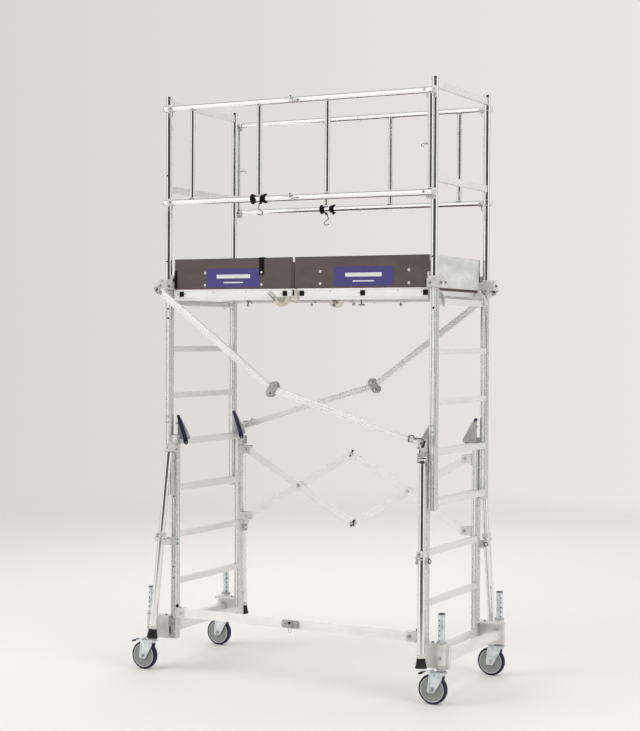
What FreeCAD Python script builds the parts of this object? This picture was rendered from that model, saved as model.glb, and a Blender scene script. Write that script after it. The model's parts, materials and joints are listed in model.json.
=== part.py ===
"""Mobile tower scaffold with a folding base, built as named sub-parts.

Lengths are in millimetres.  X runs along the platform, Y across it and Z up
from the floor.  Every node is exported in its place in the whole object.
"""
import FreeCAD, Part
import os
import re

import Sketcher
from FreeCAD import Placement, Rotation, Vector

DOC = FreeCAD.newDocument("mobile_tower")
SHEET = DOC.addObject("Spreadsheet::Sheet", "Sizes")

# alias, value, meaning
SIZES = [
    ("centre_shift", 44, "moves the tower so that its outline is centred"),
    ("rung_pitch", 250, "height between two rungs"),
    ("rung_size", 30, "rung height and width"),
    ("rung_wall", 2, "rung wall"),
    ("frame_y", 330, "upright centre from the middle plane"),
    ("lower_x", 735, "lower frame from the centre"),
    ("lower_width", 36, "lower upright along X"),
    ("lower_depth", 40, "lower upright along Y"),
    ("lower_foot", 172, "underside of the lower uprights"),
    ("lower_length", 1096, "lower upright length"),
    ("lower_first", 230, "height of the first lower rung"),
    ("upper_x", "=lower_x + 43", "upper frame and guard posts from the centre"),
    ("upper_width", 38, "upper upright along X"),
    ("upper_depth", 32, "upper upright along Y"),
    ("upper_foot", 946, "underside of the upper uprights"),
    ("upper_length", 1104, "upper upright length"),
    ("upper_first", 980, "height of the first upper rung"),
    ("upright_wall", 2.5, "upright wall"),
    ("stem_x", "=lower_x + 116", "jack stem from the centre"),
    ("stem_y", "=frame_y + 54", "jack stem from the middle plane"),
    ("stem_radius", 17.5, "jack stem"),
    ("stem_foot", 166, "underside of the jack stem"),
    ("stem_length", 281, "jack stem length"),
    ("running_gap", 0.08, "radial clearance of a running fit"),
    ("sleeve_radius", 24, "jack sleeve"),
    ("sleeve_foot", 175, "underside of the jack sleeve"),
    ("sleeve_length", 135, "jack sleeve length"),
    ("bracket_length", 118, "height of the foot casting"),
    ("wheel_radius", 75, "wheel"),
    ("wheel_width", 32, "tyre width"),
    ("tyre_depth", 9, "tyre thickness"),
    ("wheel_trail", 44, "wheel centre behind the swivel"),
    ("axle_radius", 6, "wheel axle"),
    ("fork_gap", 36, "clear width in the fork"),
    ("fork_plate", 4, "fork sheet"),
    ("fork_top", 159, "top of the fork"),
    ("beam_width", 40, "end beam along X"),
    ("beam_height", 45, "end beam height"),
    ("beam_foot", 205, "underside of the end beam"),
    ("scissor_x", "=lower_x - 60", "scissor end pivots from the centre"),
    ("scissor_high", 1155, "upper scissor pivots"),
    ("scissor_low", 771, "lower scissor pivots"),
    ("scissor_height", 40, "scissor bar height"),
    ("scissor_thick", 15, "scissor bar thickness"),
    ("scissor_gap", 1, "gap between the two scissor layers"),
    ("ledger_y", "=frame_y + 27", "ledger from the middle plane"),
    ("ledger_z", 318, "ledger height"),
    ("ledger_pivot", "=lower_x - 63", "ledger pivots from the centre"),
    ("ledger_height", 46, "ledger bar height"),
    ("ledger_thick", 24, "ledger bar thickness"),
    ("guard_y", "=frame_y + 10", "guard posts from the middle plane"),
    ("post_radius", 19, "guard post"),
    ("post_wall", 2, "guard post wall"),
    ("post_foot", 2056, "underside of the guard posts"),
    ("post_length", 1010, "guard post length"),
    ("cap_radius", 22, "cap on a guard post"),
    ("end_bar_high", 3048, "upper end bar"),
    ("end_bar_low", 2588, "lower end bar"),
    ("end_bar_height", 35, "end bar height"),
    ("end_bar_thick", 20, "end bar thickness"),
    ("rail_y", "=frame_y + 49", "side rails from the middle plane"),
    ("rail_radius", 17.4, "side rail"),
    ("rail_high", 3014, "top rail"),
    ("rail_low", 2515, "middle rail"),
    ("rail_start", "=lower_x + 53", "rail end beside its pivot post"),
    ("rail_end", "=lower_x + 63", "rail end at the far post"),
    ("spindle_radius", 15, "upright bars of the side guard"),
    ("hinge_offset", 26, "guard hinge axis outside the rail"),
    ("deck_top", 2049, "deck surface"),
    ("deck_thick", 12, "deck board thickness"),
    ("deck_x", "=lower_x + 7", "deck end from the centre"),
    ("deck_y", "=frame_y - 21", "deck edge from the middle plane"),
    ("side_beam_thick", 25, "platform side beam thickness"),
    ("side_beam_height", 59, "platform side beam height"),
    ("cross_size", 25, "platform cross tube"),
    ("hatch_x", 395, "hatch centre from the middle"),
    ("hatch_length", 530, "hatch opening along X"),
    ("hatch_width", 470, "hatch opening along Y"),
    ("hatch_gap", 2, "gap around the hatch"),
    ("toe_height", 162, "toe board height"),
    ("toe_thick", 12, "toe board thickness"),
    ("toe_y", "=frame_y - 6", "side toe board centre from the middle plane"),
    ("toe_x", "=lower_x + 11", "side toe board end"),
    ("clamp_width", 88, "post clamp along X"),
    ("clamp_depth", 54, "post clamp along Y"),
    ("clamp_height", 42, "post clamp height"),
    ("brace_y", "=frame_y + 90", "brace from the middle plane"),
    ("brace_height", 35, "brace tube height"),
    ("brace_thick", 23, "brace tube thickness"),
    ("brace_top_x", "=lower_x + 40", "upper brace pivot from the centre"),
    ("brace_top_z", 2034, "upper brace pivot height"),
    ("elbow_x", 86, "brace elbow from the centre"),
    ("elbow_z", 1530, "brace elbow height"),
    ("brace_foot_x", "=lower_x + 15", "lower brace end from the centre"),
    ("brace_foot_z", 1283, "lower brace end height"),
    ("stay_x", "=lower_x + 6", "stabiliser pivot from the centre"),
    ("stay_y", "=frame_y + 55", "stabiliser pivot from the middle plane"),
    ("stay_z", 1205, "stabiliser pivot height"),
    ("stay_drop", 978, "from the pivot down to the rubber foot"),
    ("stay_radius", 18, "inner stabiliser tube"),
    ("stay_wall", 2, "stabiliser tube wall"),
    ("leg_radius", 20, "outer stabiliser tube"),
    ("leg_top", 455, "top of the outer tube below the pivot"),
    ("foot_height", 45, "rubber foot height"),
    ("foot_radius", 30, "rubber foot base"),
    ("lean_x_fl", -64, "stabiliser lean along X, front left"),
    ("lean_x_fr", 30, "stabiliser lean along X, front right"),
    ("lean_x_bl", -30, "stabiliser lean along X, back left"),
    ("lean_x_br", 46, "stabiliser lean along X, back right"),
    ("lean_y", 65, "stabiliser lean outwards along Y"),
    ("hook_plate", 6, "hook plate thickness"),
    ("lever_thick", 8, "hook lever thickness"),
]

ALIASES = {name for name, _value, _note in SIZES}
CORNERS = {"fl": (-1, -1), "fr": (1, -1), "bl": (-1, 1), "br": (1, 1)}
NODES = []


def fill_sheet():
    """Write the driving sizes to the spreadsheet."""
    for row, (name, value, note) in enumerate(SIZES, start=1):
        SHEET.set(f"A{row}", name)
        SHEET.set(f"B{row}", str(value))
        SHEET.setAlias(f"B{row}", name)
        SHEET.set(f"C{row}", note)
    DOC.recompute()


def bound(text):
    """Return an expression in which each size name refers to the sheet."""
    def full(match):
        word = match.group(0)
        return f"Sizes.{word}" if word in ALIASES else word

    return re.sub(r"[a-z][a-z_0-9]*", full, str(text))


def bind(obj, **values):
    """Bind properties of an object to expressions."""
    for name, text in values.items():
        obj.setExpression(name, bound(text))


def place(obj, x=0, y=0, z=0, axis=None, angle=None):
    """Bind an object's position, and turn it about an axis through its origin."""
    if axis is not None:
        fixed = angle if isinstance(angle, (int, float)) else 45
        obj.Placement = Placement(Vector(), Rotation(Vector(*axis), fixed))
        if isinstance(angle, str):
            obj.setExpression("Placement.Rotation.Angle", bound(angle))
    for letter, text in (("x", x), ("y", y), ("z", z)):
        obj.setExpression(f"Placement.Base.{letter}", bound(text))
    return obj


def box(name, size, low):
    """Make a box from its size and its lowest corner."""
    obj = DOC.addObject("Part::Box", name)
    bind(obj, Length=size[0], Width=size[1], Height=size[2])
    return place(obj, *low)


def rod(name, radius, length, start, axis=None, angle=None):
    """Make a cylinder that starts at a point and runs along Z before turning."""
    obj = DOC.addObject("Part::Cylinder", name)
    bind(obj, Radius=radius, Height=length)
    return place(obj, *start, axis=axis, angle=angle)


def along_y(name, radius, length, start):
    """Make a cylinder along +Y."""
    return rod(name, radius, length, start, (-1, 0, 0), 90)


def cut(name, base, *tools):
    """Subtract tools from a base."""
    for index, tool in enumerate(tools):
        result = DOC.addObject("Part::Cut", f"{name}_{index}")
        result.Base = base
        result.Tool = tool
        base = result
    return base


def fuse(name, *shapes):
    """Join shapes into one solid."""
    obj = DOC.addObject("Part::MultiFuse", name)
    obj.Shapes = list(shapes)
    return obj


def group(name, *shapes, **where):
    """Hold several solids together, so that they can be placed as one."""
    obj = DOC.addObject("Part::Compound", name)
    obj.Links = list(shapes)
    return place(obj, **where) if where else obj


def mirrored(name, source, normal):
    """Mirror an object in a plane through the origin."""
    obj = DOC.addObject("Part::Mirroring", name)
    obj.Source = source
    obj.Normal = Vector(*normal)
    return obj


def node(label, *shapes):
    """Record an exported node."""
    obj = DOC.addObject("Part::Compound", label)
    obj.Label = label
    obj.Links = list(shapes)
    place(obj, x="centre_shift")
    NODES.append(obj)
    return obj


def rectangle(sketch, prefix, width, depth):
    """Draw a rectangle about the sketch origin and bind its two sizes."""
    corners = [Vector(-9, -9, 0), Vector(9, -9, 0), Vector(9, 9, 0), Vector(-9, 9, 0)]
    lines = [
        sketch.addGeometry(Part.LineSegment(corners[i], corners[(i + 1) % 4]), False)
        for i in range(4)
    ]
    add = sketch.addConstraint
    for i in range(4):
        add(Sketcher.Constraint("Coincident", lines[i], 2, lines[(i + 1) % 4], 1))
    for i, kind in enumerate(("Horizontal", "Vertical", "Horizontal", "Vertical")):
        add(Sketcher.Constraint(kind, lines[i]))
    add(Sketcher.Constraint("Symmetric", lines[0], 1, lines[2], 1, -1, 1))
    wide = add(Sketcher.Constraint("DistanceX", lines[0], 1, lines[0], 2, 18))
    deep = add(Sketcher.Constraint("DistanceY", lines[1], 1, lines[1], 2, 18))
    for index, name, text in ((wide, "width", width), (deep, "depth", depth)):
        sketch.renameConstraint(index, f"{prefix}_{name}")
        sketch.setExpression(f"Constraints.{prefix}_{name}", bound(text))


def circle(sketch, prefix, radius):
    """Draw a circle about the sketch origin and bind its radius."""
    line = sketch.addGeometry(Part.Circle(Vector(), Vector(0, 0, 1), 9), False)
    sketch.addConstraint(Sketcher.Constraint("Coincident", line, 3, -1, 1))
    index = sketch.addConstraint(Sketcher.Constraint("Radius", line, 9))
    sketch.renameConstraint(index, f"{prefix}_radius")
    sketch.setExpression(f"Constraints.{prefix}_radius", bound(radius))


def new_profile(name, plane="XY_Plane"):
    """Start a body with a sketch on one of its origin planes."""
    body = DOC.addObject("PartDesign::Body", name)
    sketch = body.newObject("Sketcher::SketchObject", f"{name}_profile")
    base = [item for item in body.Origin.OriginFeatures if item.Role == plane]
    sketch.AttachmentSupport = (base[0], [""])
    sketch.MapMode = "FlatFace"
    return body, sketch


def pad(body, sketch, length):
    """Extrude a profile along the sketch normal."""
    feature = body.newObject("PartDesign::Pad", f"{body.Name}_pad")
    feature.Profile = sketch
    feature.setExpression("Length", bound(length))
    return body


def box_tube(name, width, depth, wall, length, start, axis=None, angle=None):
    """Extrude a rectangular tube along Z, then turn and place it."""
    body, sketch = new_profile(name)
    rectangle(sketch, "outer", width, depth)
    rectangle(sketch, "inner", f"{width} - 2 * {wall}", f"{depth} - 2 * {wall}")
    pad(body, sketch, length)
    return place(body, *start, axis=axis, angle=angle)


def round_tube(name, radius, wall, length, start, axis=None, angle=None):
    """Extrude a round tube along Z, then turn and place it."""
    body, sketch = new_profile(name)
    circle(sketch, "outer", radius)
    circle(sketch, "inner", f"{radius} - {wall}")
    pad(body, sketch, length)
    return place(body, *start, axis=axis, angle=angle)


def plate(name, points, thickness, start=(0, 0, 0)):
    """Extrude a polygon in the XZ plane towards +Y.

    The points are pairs of expressions in the body's own X and Z.
    """
    body, sketch = new_profile(name, "XZ_Plane")
    count = len(points)
    rough = [start_value(point) for point in points]
    lines = [
        sketch.addGeometry(Part.LineSegment(rough[i], rough[(i + 1) % count]), False)
        for i in range(count)
    ]
    add = sketch.addConstraint
    for i in range(count):
        add(Sketcher.Constraint("Coincident", lines[i], 2, lines[(i + 1) % count], 1))
    for i, (across, up) in enumerate(points):
        for kind, value, text in (
            ("DistanceX", rough[i].x, across),
            ("DistanceY", rough[i].y, up),
        ):
            index = add(Sketcher.Constraint(kind, -1, 1, lines[i], 1, value))
            label = f"point_{i}_{kind[-1].lower()}"
            sketch.renameConstraint(index, label)
            sketch.setExpression(f"Constraints.{label}", bound(text))
    feature = body.newObject("PartDesign::Pad", f"{name}_pad")
    feature.Profile = sketch
    feature.Reversed = True
    feature.setExpression("Length", bound(thickness))
    return place(body, *start)


def start_value(point):
    """Work out where a polygon's corner starts, from its two expressions."""
    return Vector(*(float(SHEET.evalExpression(bound(text))) for text in point), 0)


def four_corners(name, source):
    """Return a part made for +X, +Y and its three mirror images."""
    beside = mirrored(f"{name}_mx", source, (1, 0, 0))
    across = mirrored(f"{name}_my", source, (0, 1, 0))
    both = mirrored(f"{name}_mxy", beside, (0, 1, 0))
    return source, beside, across, both


def ladder_frames():
    """Build the uprights and rungs of the lower and upper end frames."""
    for level, start in (("lower", "lower_foot"), ("upper", "upper_foot")):
        uprights = []
        rungs = []
        for tag, (sx, sy) in CORNERS.items():
            uprights.append(box_tube(
                f"{level}_upright_{tag}", f"{level}_width", f"{level}_depth",
                "upright_wall", f"{level}_length",
                (f"{sx} * {level}_x", f"{sy} * frame_y", start),
            ))
        for side in (-1, 1):
            for step in range(5):
                rungs.append(box_tube(
                    f"{level}_rung_{'l' if side < 0 else 'r'}{step}",
                    "rung_size", "rung_size", "rung_wall",
                    f"2 * frame_y - {level}_depth",
                    (f"{side} * {level}_x", f"-frame_y + {level}_depth / 2",
                     f"{level}_first + {step} * rung_pitch"),
                    (-1, 0, 0), 90,
                ))
        node(f"{level}_uprights", *uprights)
        node(f"{level}_rungs", *rungs)


def foot_castings():
    """Build the castings with jack sleeves, and the beams between them."""
    web_low = "lower_x + lower_width / 2"
    web = box("foot_web", (f"stem_x - {web_low}", 26, "bracket_length"),
              (web_low, "frame_y + lower_depth / 2", "sleeve_foot"))
    shelf = box("foot_shelf", (f"stem_x - {web_low} - 6", 60, 8),
                (web_low, "frame_y - lower_depth / 2",
                 "sleeve_foot + bracket_length - 8"))
    face = box("foot_face", ("lower_width + 14", 7, "bracket_length"),
               ("lower_x - lower_width / 2", "frame_y + lower_depth / 2",
                "sleeve_foot"))
    sleeve = rod("foot_sleeve", "sleeve_radius", "sleeve_length",
                 ("stem_x", "stem_y", "sleeve_foot"))
    core = fuse("foot_core", web, shelf, face, sleeve)
    bore = rod("foot_bore", "stem_radius + running_gap", "sleeve_length + 20",
               ("stem_x", "stem_y", "sleeve_foot - 10"))
    pocket = box("foot_pocket", (f"stem_x - {web_low} - 30", 14, "bracket_length"),
                 (f"{web_low} + 6", "frame_y + lower_depth / 2 + 6",
                  "sleeve_foot - 8"))
    casting = cut("foot_casting", core, bore, pocket)
    node("foot_castings", *four_corners("foot_casting", casting))
    beams = [
        box_tube(f"end_beam_{side}", "beam_width", "beam_height", 2.5,
                 "2 * frame_y + lower_depth",
                 (f"{side} * stem_x", "-frame_y - lower_depth / 2",
                  "beam_foot + beam_height / 2"),
                 (-1, 0, 0), 90)
        for side in (-1, 1)
    ]
    node("end_beams", *beams)


def scissor():
    """Build the pantograph of four bars between the two lower frames."""
    low_y = "frame_y - scissor_thick - scissor_gap / 2"
    high_y = "frame_y + scissor_gap / 2"
    rise = "(scissor_high - scissor_low)"
    bars = []
    pivots = (
        ("left_fall", "-scissor_x", "scissor_high", 1, -1, low_y),
        ("left_rise", "-scissor_x", "scissor_low", 1, 1, high_y),
        ("right_fall", "scissor_x", "scissor_high", -1, -1, high_y),
        ("right_rise", "scissor_x", "scissor_low", -1, 1, low_y),
    )
    for tag, start_x, start_z, way, climb, low in pivots:
        bars.append(box_tube(
            f"scissor_{tag}", "scissor_height", "scissor_thick", 1.8,
            f"sqrt(scissor_x ^ 2 + {rise} ^ 2)",
            (start_x, f"{low} + scissor_thick / 2", start_z),
            (0, way, 0), f"atan2(scissor_x; {climb} * {rise})",
        ))
    node("scissor_bars", *bars)
    inner = "lower_x - lower_width / 2"
    clips = []
    for side in (-1, 1):
        for height in ("high", "low"):
            tag = f"scissor_clip_{side}_{height}"
            low_x = f"{inner} - 26" if side > 0 else f"-({inner})"
            parts = [box(f"{tag}_back", (6, 48, 60), (
                f"{inner} - 6" if side > 0 else low_x, "frame_y - 24",
                f"scissor_{height} - 30"))]
            node_x = f"{inner} - 60" if side > 0 else low_x
            for cheek, cheek_y in (("a", "frame_y - 24"), ("b", "frame_y + 20")):
                parts.append(box(f"{tag}_{cheek}", (60, 4, 44), (
                    node_x, cheek_y, f"scissor_{height} - 22")))
            clips.append(fuse(tag, *parts))
    node("scissor_clips", *clips)


def ledger():
    """Build the two folding halves of the front ledger and its end clips."""
    inner = "lower_x - lower_width / 2"
    clips = []
    for side in (-1, 1):
        tag = f"ledger_clip_{side}"
        block_x = f"{inner} - 17" if side > 0 else f"-({inner})"
        low_x = f"{inner} - 62" if side > 0 else f"-({inner})"
        parts = [box(f"{tag}_block", (17, 46, 56), (
            block_x, "-ledger_y - 18", "ledger_z - 28"))]
        for cheek, cheek_y in (("front", "-ledger_y - 18"), ("back", "-ledger_y + 13")):
            parts.append(box(f"{tag}_{cheek}", (62, 5, 50), (
                low_x, cheek_y, "ledger_z - 25")))
        parts.append(along_y(f"ledger_pin_{side}", "axle_radius", 36,
                             (f"{side} * ledger_pivot", "-ledger_y - 18", "ledger_z")))
        clips.append(fuse(tag, *parts))
    node("ledger_clips", *clips)
    left = box_tube("ledger_tube_left", "ledger_height", "ledger_thick", 2,
                    "ledger_pivot + 10 - 1",
                    ("-ledger_pivot - 10", "-ledger_y", "ledger_z"), (0, 1, 0), 90)
    latch = box("ledger_latch", (110, 4, 34),
                (-55, "-ledger_y - ledger_thick / 2 - 4", "ledger_z - 13"))
    bores = [
        along_y(f"ledger_bore_{side}", "axle_radius + running_gap", 40,
                (f"{side} * ledger_pivot", "-ledger_y - 20", "ledger_z"))
        for side in (-1, 1)
    ]
    node("ledger_left", cut("ledger_left_cut",
                            fuse("ledger_left_joined", left, latch), bores[0]))
    right = box_tube("ledger_tube_right", "ledger_height", "ledger_thick", 2,
                     "ledger_pivot + 10 - 1", (1, "-ledger_y", "ledger_z"),
                     (0, 1, 0), 90)
    node("ledger_right", cut("ledger_right_cut", right, bores[1]))


def hooks():
    """Build the hook plates on the lower frames and their levers."""
    outline = (
        ("lower_x - 60", "lower_first + 4 * rung_pitch + rung_size / 2"),
        ("lower_x + 20", "lower_first + 4 * rung_pitch + rung_size / 2"),
        ("lower_x + 20", "lower_first + 4 * rung_pitch + 128"),
        ("lower_x - 2", "lower_first + 4 * rung_pitch + 128"),
        ("lower_x - 60", "lower_first + 4 * rung_pitch + rung_size / 2 + 16"),
    )
    inner = plate("hook_plate_br", outline, "hook_plate",
                  (0, "frame_y - lower_depth / 2 - hook_plate - 24", 0))
    outer = plate("hook_plate_outer", outline, "hook_plate",
                  (0, "frame_y - lower_depth / 2 - hook_plate - 8", 0))
    turned = mirrored("hook_plate_inner", inner, (1, 0, 0))
    node("hook_plates", inner,
         mirrored("hook_plate_fl", turned, (0, 1, 0)),
         mirrored("hook_plate_bl", outer, (1, 0, 0)),
         mirrored("hook_plate_fr", outer, (0, 1, 0)))
    lever = (
        ("lower_x + 5", "lower_first + 4 * rung_pitch + 146"),
        ("lower_x + 21", "lower_first + 4 * rung_pitch + 142"),
        ("lower_x - 28", "lower_first + 4 * rung_pitch + 2"),
        ("lower_x - 36", "lower_first + 4 * rung_pitch - 6"),
        ("lower_x - 50", "lower_first + 4 * rung_pitch + 4"),
    )
    shape = plate("lever_plate_br", lever, "lever_thick",
                  (0, "frame_y - lower_depth / 2 - hook_plate - 9 - lever_thick", 0))
    beside = mirrored("lever_source_bl", shape, (1, 0, 0))
    node("hook_lever_br", shape)
    node("hook_lever_bl", beside)
    node("hook_lever_fr", mirrored("lever_source_fr", shape, (0, 1, 0)))
    node("hook_lever_fl", mirrored("lever_source_fl", beside, (0, 1, 0)))


def stay_place(tag, shape, inner=False):
    """Turn a part made about the pivot, leaning along +X, into its corner."""
    sx, sy = CORNERS[tag]
    length = f"atan2(lean_y; {sx} * lean_x_{tag} * {sx})"
    return group(f"{shape.Name}_at_{tag}", shape, x=f"{sx} * stay_x",
                 y=f"{sy} * stay_y", z="stay_z", axis=(0, 0, sy), angle=length)


def stabilisers(catches):
    """Build the four telescoping stabilisers and what holds them on the frames.

    The catches of the two braces are castings of the same set.
    """
    holders = list(catches)
    for tag, (sx, sy) in CORNERS.items():
        lean = f"sqrt(lean_x_{tag} ^ 2 + lean_y ^ 2)"
        tilt = f"atan2({lean}; stay_drop + foot_height)"
        arm_tube = round_tube(f"arm_tube_{tag}", "stay_radius", "stay_wall",
                              "stay_drop - 60", (0, 0, "-stay_drop + 60 - 26"))
        eye = along_y(f"arm_eye_{tag}", 15, 37, (0, -18.5, 0))
        neck = box(f"arm_neck_{tag}", (22, 20, 30), (-11, -10, -30))
        plug = rod(f"arm_plug_{tag}", "stay_radius", 4, (0, 0, -30))
        arm = group(f"arm_{tag}", fuse(f"arm_top_{tag}", eye, neck, plug, arm_tube),
                    z=0, axis=(0, -1, 0), angle=tilt)
        node(f"stay_arm_{tag}", stay_place(tag, arm))
        leg_tube = cut(
            f"leg_tube_{tag}",
            rod(f"leg_outside_{tag}", "leg_radius", "stay_drop - leg_top + 4",
                (0, 0, "-stay_drop - 4")),
            rod(f"leg_inside_{tag}", "stay_radius + running_gap",
                "stay_drop - leg_top + 4", (0, 0, "-stay_drop + 6")),
        )
        collar = cut(
            f"leg_collar_{tag}",
            rod(f"leg_collar_out_{tag}", "leg_radius + 3", 26,
                (0, 0, "-leg_top - 26")),
            rod(f"leg_collar_in_{tag}", "leg_radius", 28, (0, 0, "-leg_top - 27")),
        )
        foot = DOC.addObject("Part::Cone", f"leg_foot_{tag}")
        bind(foot, Radius1="foot_radius", Radius2="leg_radius + 3",
             Height="foot_height - 4")
        place(foot, z="-stay_drop - foot_height")
        leg = group(f"leg_{tag}", leg_tube, collar, foot, z=0,
                    axis=(0, -1, 0), angle=tilt)
        node(f"stay_leg_{tag}", stay_place(tag, leg))
        holders += stay_holder(tag, sx, sy)
        holders += stay_clip(tag, sx, sy)
    node("frame_castings", *holders)


def stay_holder(tag, sx, sy):
    """Build the four plates that carry a stabiliser's pivot."""
    face = "frame_y + lower_depth / 2"
    keep = box(f"holder_keep_{tag}", ("2 * stem_x", f"2 * ({face} + 9)", 80),
               ("-stem_x", f"-({face}) - 9", "stay_z - 40"))
    plates = [box(f"holder_back_{tag}", (6, 51, 50), (-27, -25.5, -25))]
    for side, low in (("a", -25.5), ("b", 19.5)):
        plates.append(box(f"holder_ear_{side}_{tag}", (31, 6, 34), (-21, low, -17)))
    parts = [cut(f"holder_trim_{index}_{tag}", stay_place(tag, shape), keep)
             for index, shape in enumerate(plates)]
    low_x = "lower_x - lower_width / 2" if sx > 0 else "-lower_x - lower_width / 2"
    low_y = face if sy > 0 else f"-({face}) - 9"
    parts.append(box(f"holder_block_{tag}", ("lower_width", 9, 50),
                     (low_x, low_y, "stay_z - 25")))
    return parts


def stay_clip(tag, sx, sy):
    """Build the open clip that the stowed stabiliser rests in."""
    out = f"505 * sqrt(lean_x_{tag} ^ 2 + lean_y ^ 2) / (stay_drop + foot_height)"
    face = "frame_y + lower_depth / 2"
    keep = box(f"clip_keep_{tag}", ("2 * stem_x", f"2 * ({face} + 22)", 80),
               ("-stem_x", f"-({face}) - 22", "stay_z - 545"))
    inside = "leg_radius + 3.6"
    plates = [box(f"clip_back_{tag}", (5, f"2 * ({inside})", 30),
                  (f"{out} - leg_radius - 10", f"-({inside})", -520))]
    for side, low in (("a", f"-({inside}) - 5"), ("b", inside)):
        plates.append(box(f"clip_cheek_{side}_{tag}", (54, 5, 30),
                          (f"{out} - 52", low, -520)))
    parts = [cut(f"clip_trim_{index}_{tag}", stay_place(tag, shape), keep)
             for index, shape in enumerate(plates)]
    low_x = "lower_x - lower_width / 2 - 12"
    low_x = low_x if sx > 0 else "-lower_x - lower_width / 2 - 12"
    low_y = face if sy > 0 else f"-({face}) - 22"
    parts.append(box(f"clip_block_{tag}", ("lower_width + 24", 22, 40),
                     (low_x, low_y, "stay_z - 525")))
    return parts


def casters():
    """Build the four jack stems with swivel forks, wheels and brake pedals."""
    for tag, (sx, sy) in CORNERS.items():
        x = f"{sx} * stem_x"
        y = f"{sy} * stem_y"
        tube = round_tube(f"stem_tube_{tag}", "stem_radius", 3, "stem_length",
                          (x, y, "stem_foot"))
        cap = rod(f"stem_cap_{tag}", "stem_radius + 1", 4,
                  (x, y, "stem_foot + stem_length"))
        flange = rod(f"stem_flange_{tag}", 27, 6, (x, y, "stem_foot - 6.5"))
        node(f"jack_stem_{tag}", tube, cap, flange)
        axle_x = f"{x} - wheel_trail"
        outline = (
            ("-57", "fork_top - wheel_radius"), ("14", "fork_top - wheel_radius"),
            ("11", "54"), ("-24", "-9"), ("-32", "-18"), ("-60", "-18"),
            ("-68", "-9"),
        )
        points = tuple((px, pz) for px, pz in outline)
        cheeks = [
            plate(f"fork_cheek_{side}_{tag}", points, "fork_plate",
                  (x, f"{y} + {low}", "wheel_radius"))
            for side, low in (("a", "-fork_gap / 2 - fork_plate"),
                              ("b", "fork_gap / 2"))
        ]
        crown = box(f"fork_crown_{tag}", (85, "fork_gap + 2 * fork_plate", 5),
                    (f"{x} - 57", f"{y} - fork_gap / 2 - fork_plate",
                     "fork_top - 5"))
        axle = along_y(f"fork_axle_{tag}", "axle_radius - 0.05",
                       "fork_gap + 2 * fork_plate + 6",
                       (axle_x, f"{y} - fork_gap / 2 - fork_plate - 3",
                        "wheel_radius"))
        node(f"caster_fork_{tag}", fuse(f"fork_{tag}", *cheeks, crown, axle))
        wheel(tag, axle_x, y)
        pedal = (("0", "0"), ("-66", "-21"), ("-66", "-25"), ("0", "-4"))
        shape = plate(f"pedal_plate_{tag}", pedal, 38,
                      (f"{x} - 50", f"{y} - 19", "fork_top + 9"))
        boss = along_y(f"pedal_boss_{tag}", 4, 38,
                       (f"{x} - 50", f"{y} - 19", "fork_top + 5"))
        node(f"brake_pedal_{tag}", fuse(f"pedal_{tag}", shape, boss))


def wheel(tag, axle_x, y):
    """Build one wheel: a core with its bore and a tyre round it."""
    core = cut(
        f"core_{tag}",
        along_y(f"core_disc_{tag}", "wheel_radius - tyre_depth", "wheel_width - 2",
                (axle_x, f"{y} - wheel_width / 2 + 1", "wheel_radius")),
        along_y(f"core_bore_{tag}", "axle_radius", "wheel_width + 4",
                (axle_x, f"{y} - wheel_width / 2 - 2", "wheel_radius")),
    )
    tyre = cut(
        f"tyre_{tag}",
        along_y(f"tyre_disc_{tag}", "wheel_radius", "wheel_width",
                (axle_x, f"{y} - wheel_width / 2", "wheel_radius")),
        along_y(f"tyre_bore_{tag}", "wheel_radius - tyre_depth", "wheel_width + 4",
                (axle_x, f"{y} - wheel_width / 2 - 2", "wheel_radius")),
    )
    node(f"wheel_{tag}", core, tyre)


def guard_posts(studs):
    """Build the clamps with the brace studs, the guard posts and the end bars."""
    clamps = list(studs)
    posts = []
    for tag, (sx, sy) in CORNERS.items():
        low_x = "upper_x - 30" if sx > 0 else "-upper_x + 30 - clamp_width"
        body = box(f"clamp_body_{tag}", ("clamp_width", "clamp_depth", "clamp_height"), (
            low_x, f"{sy} * (frame_y + 5) - clamp_depth / 2",
            "upper_foot + upper_length"))
        socket = rod(f"clamp_socket_{tag}", "post_radius", 60,
                     (f"{sx} * upper_x", f"{sy} * guard_y", "post_foot"))
        clamps.append(cut(f"clamp_{tag}", body, socket))
        posts.append(round_tube(f"post_{tag}", "post_radius", "post_wall",
                                "post_length",
                                (f"{sx} * upper_x", f"{sy} * guard_y", "post_foot")))
        posts.append(rod(f"post_cap_{tag}", "cap_radius", 17,
                         (f"{sx} * upper_x", f"{sy} * guard_y",
                          "post_foot + post_length")))
    node("post_clamps", *clamps)
    node("guard_posts", *posts)
    bars = [
        box_tube(f"end_bar_{side}_{level}", "end_bar_thick", "end_bar_height", 2,
                 "2 * guard_y - 2 * post_radius",
                 (f"{side} * upper_x", "-guard_y + post_radius",
                  f"end_bar_{level}"),
                 (-1, 0, 0), 90)
        for side in (-1, 1) for level in ("high", "low")
    ]
    node("end_bars", *bars)


def guard_panel(tag, way):
    """Build the two halves of a side guard; way is 1 in front, -1 behind."""
    y = f"{-way} * rail_y"
    turn = (0, way, 0)
    halves = (
        ("pivot", "-rail_start", "rail_start - 0.5", (-604, -196)),
        ("free", "0.5", "rail_end - 0.5", (202, 773)),
    )
    for half, start, length, spindles in halves:
        parts = []
        for level in ("high", "low"):
            parts.append(round_tube(
                f"rail_{tag}_{half}_{level}", "rail_radius", 2, length,
                (f"{way} * ({start})", y, f"rail_{level}"), turn, 90))
            parts.append(guard_hinge(tag, way, half, level))
            if half == "pivot":
                parts.append(guard_ring(tag, way, level))
        for index, spindle in enumerate(spindles):
            parts.append(round_tube(
                f"spindle_{tag}_{half}_{index}", "spindle_radius", 1.8,
                "rail_high - rail_low - 2 * rail_radius",
                (way * spindle, y, "rail_low + rail_radius")))
        node(f"guard_{tag}_{half}", *parts)


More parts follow.
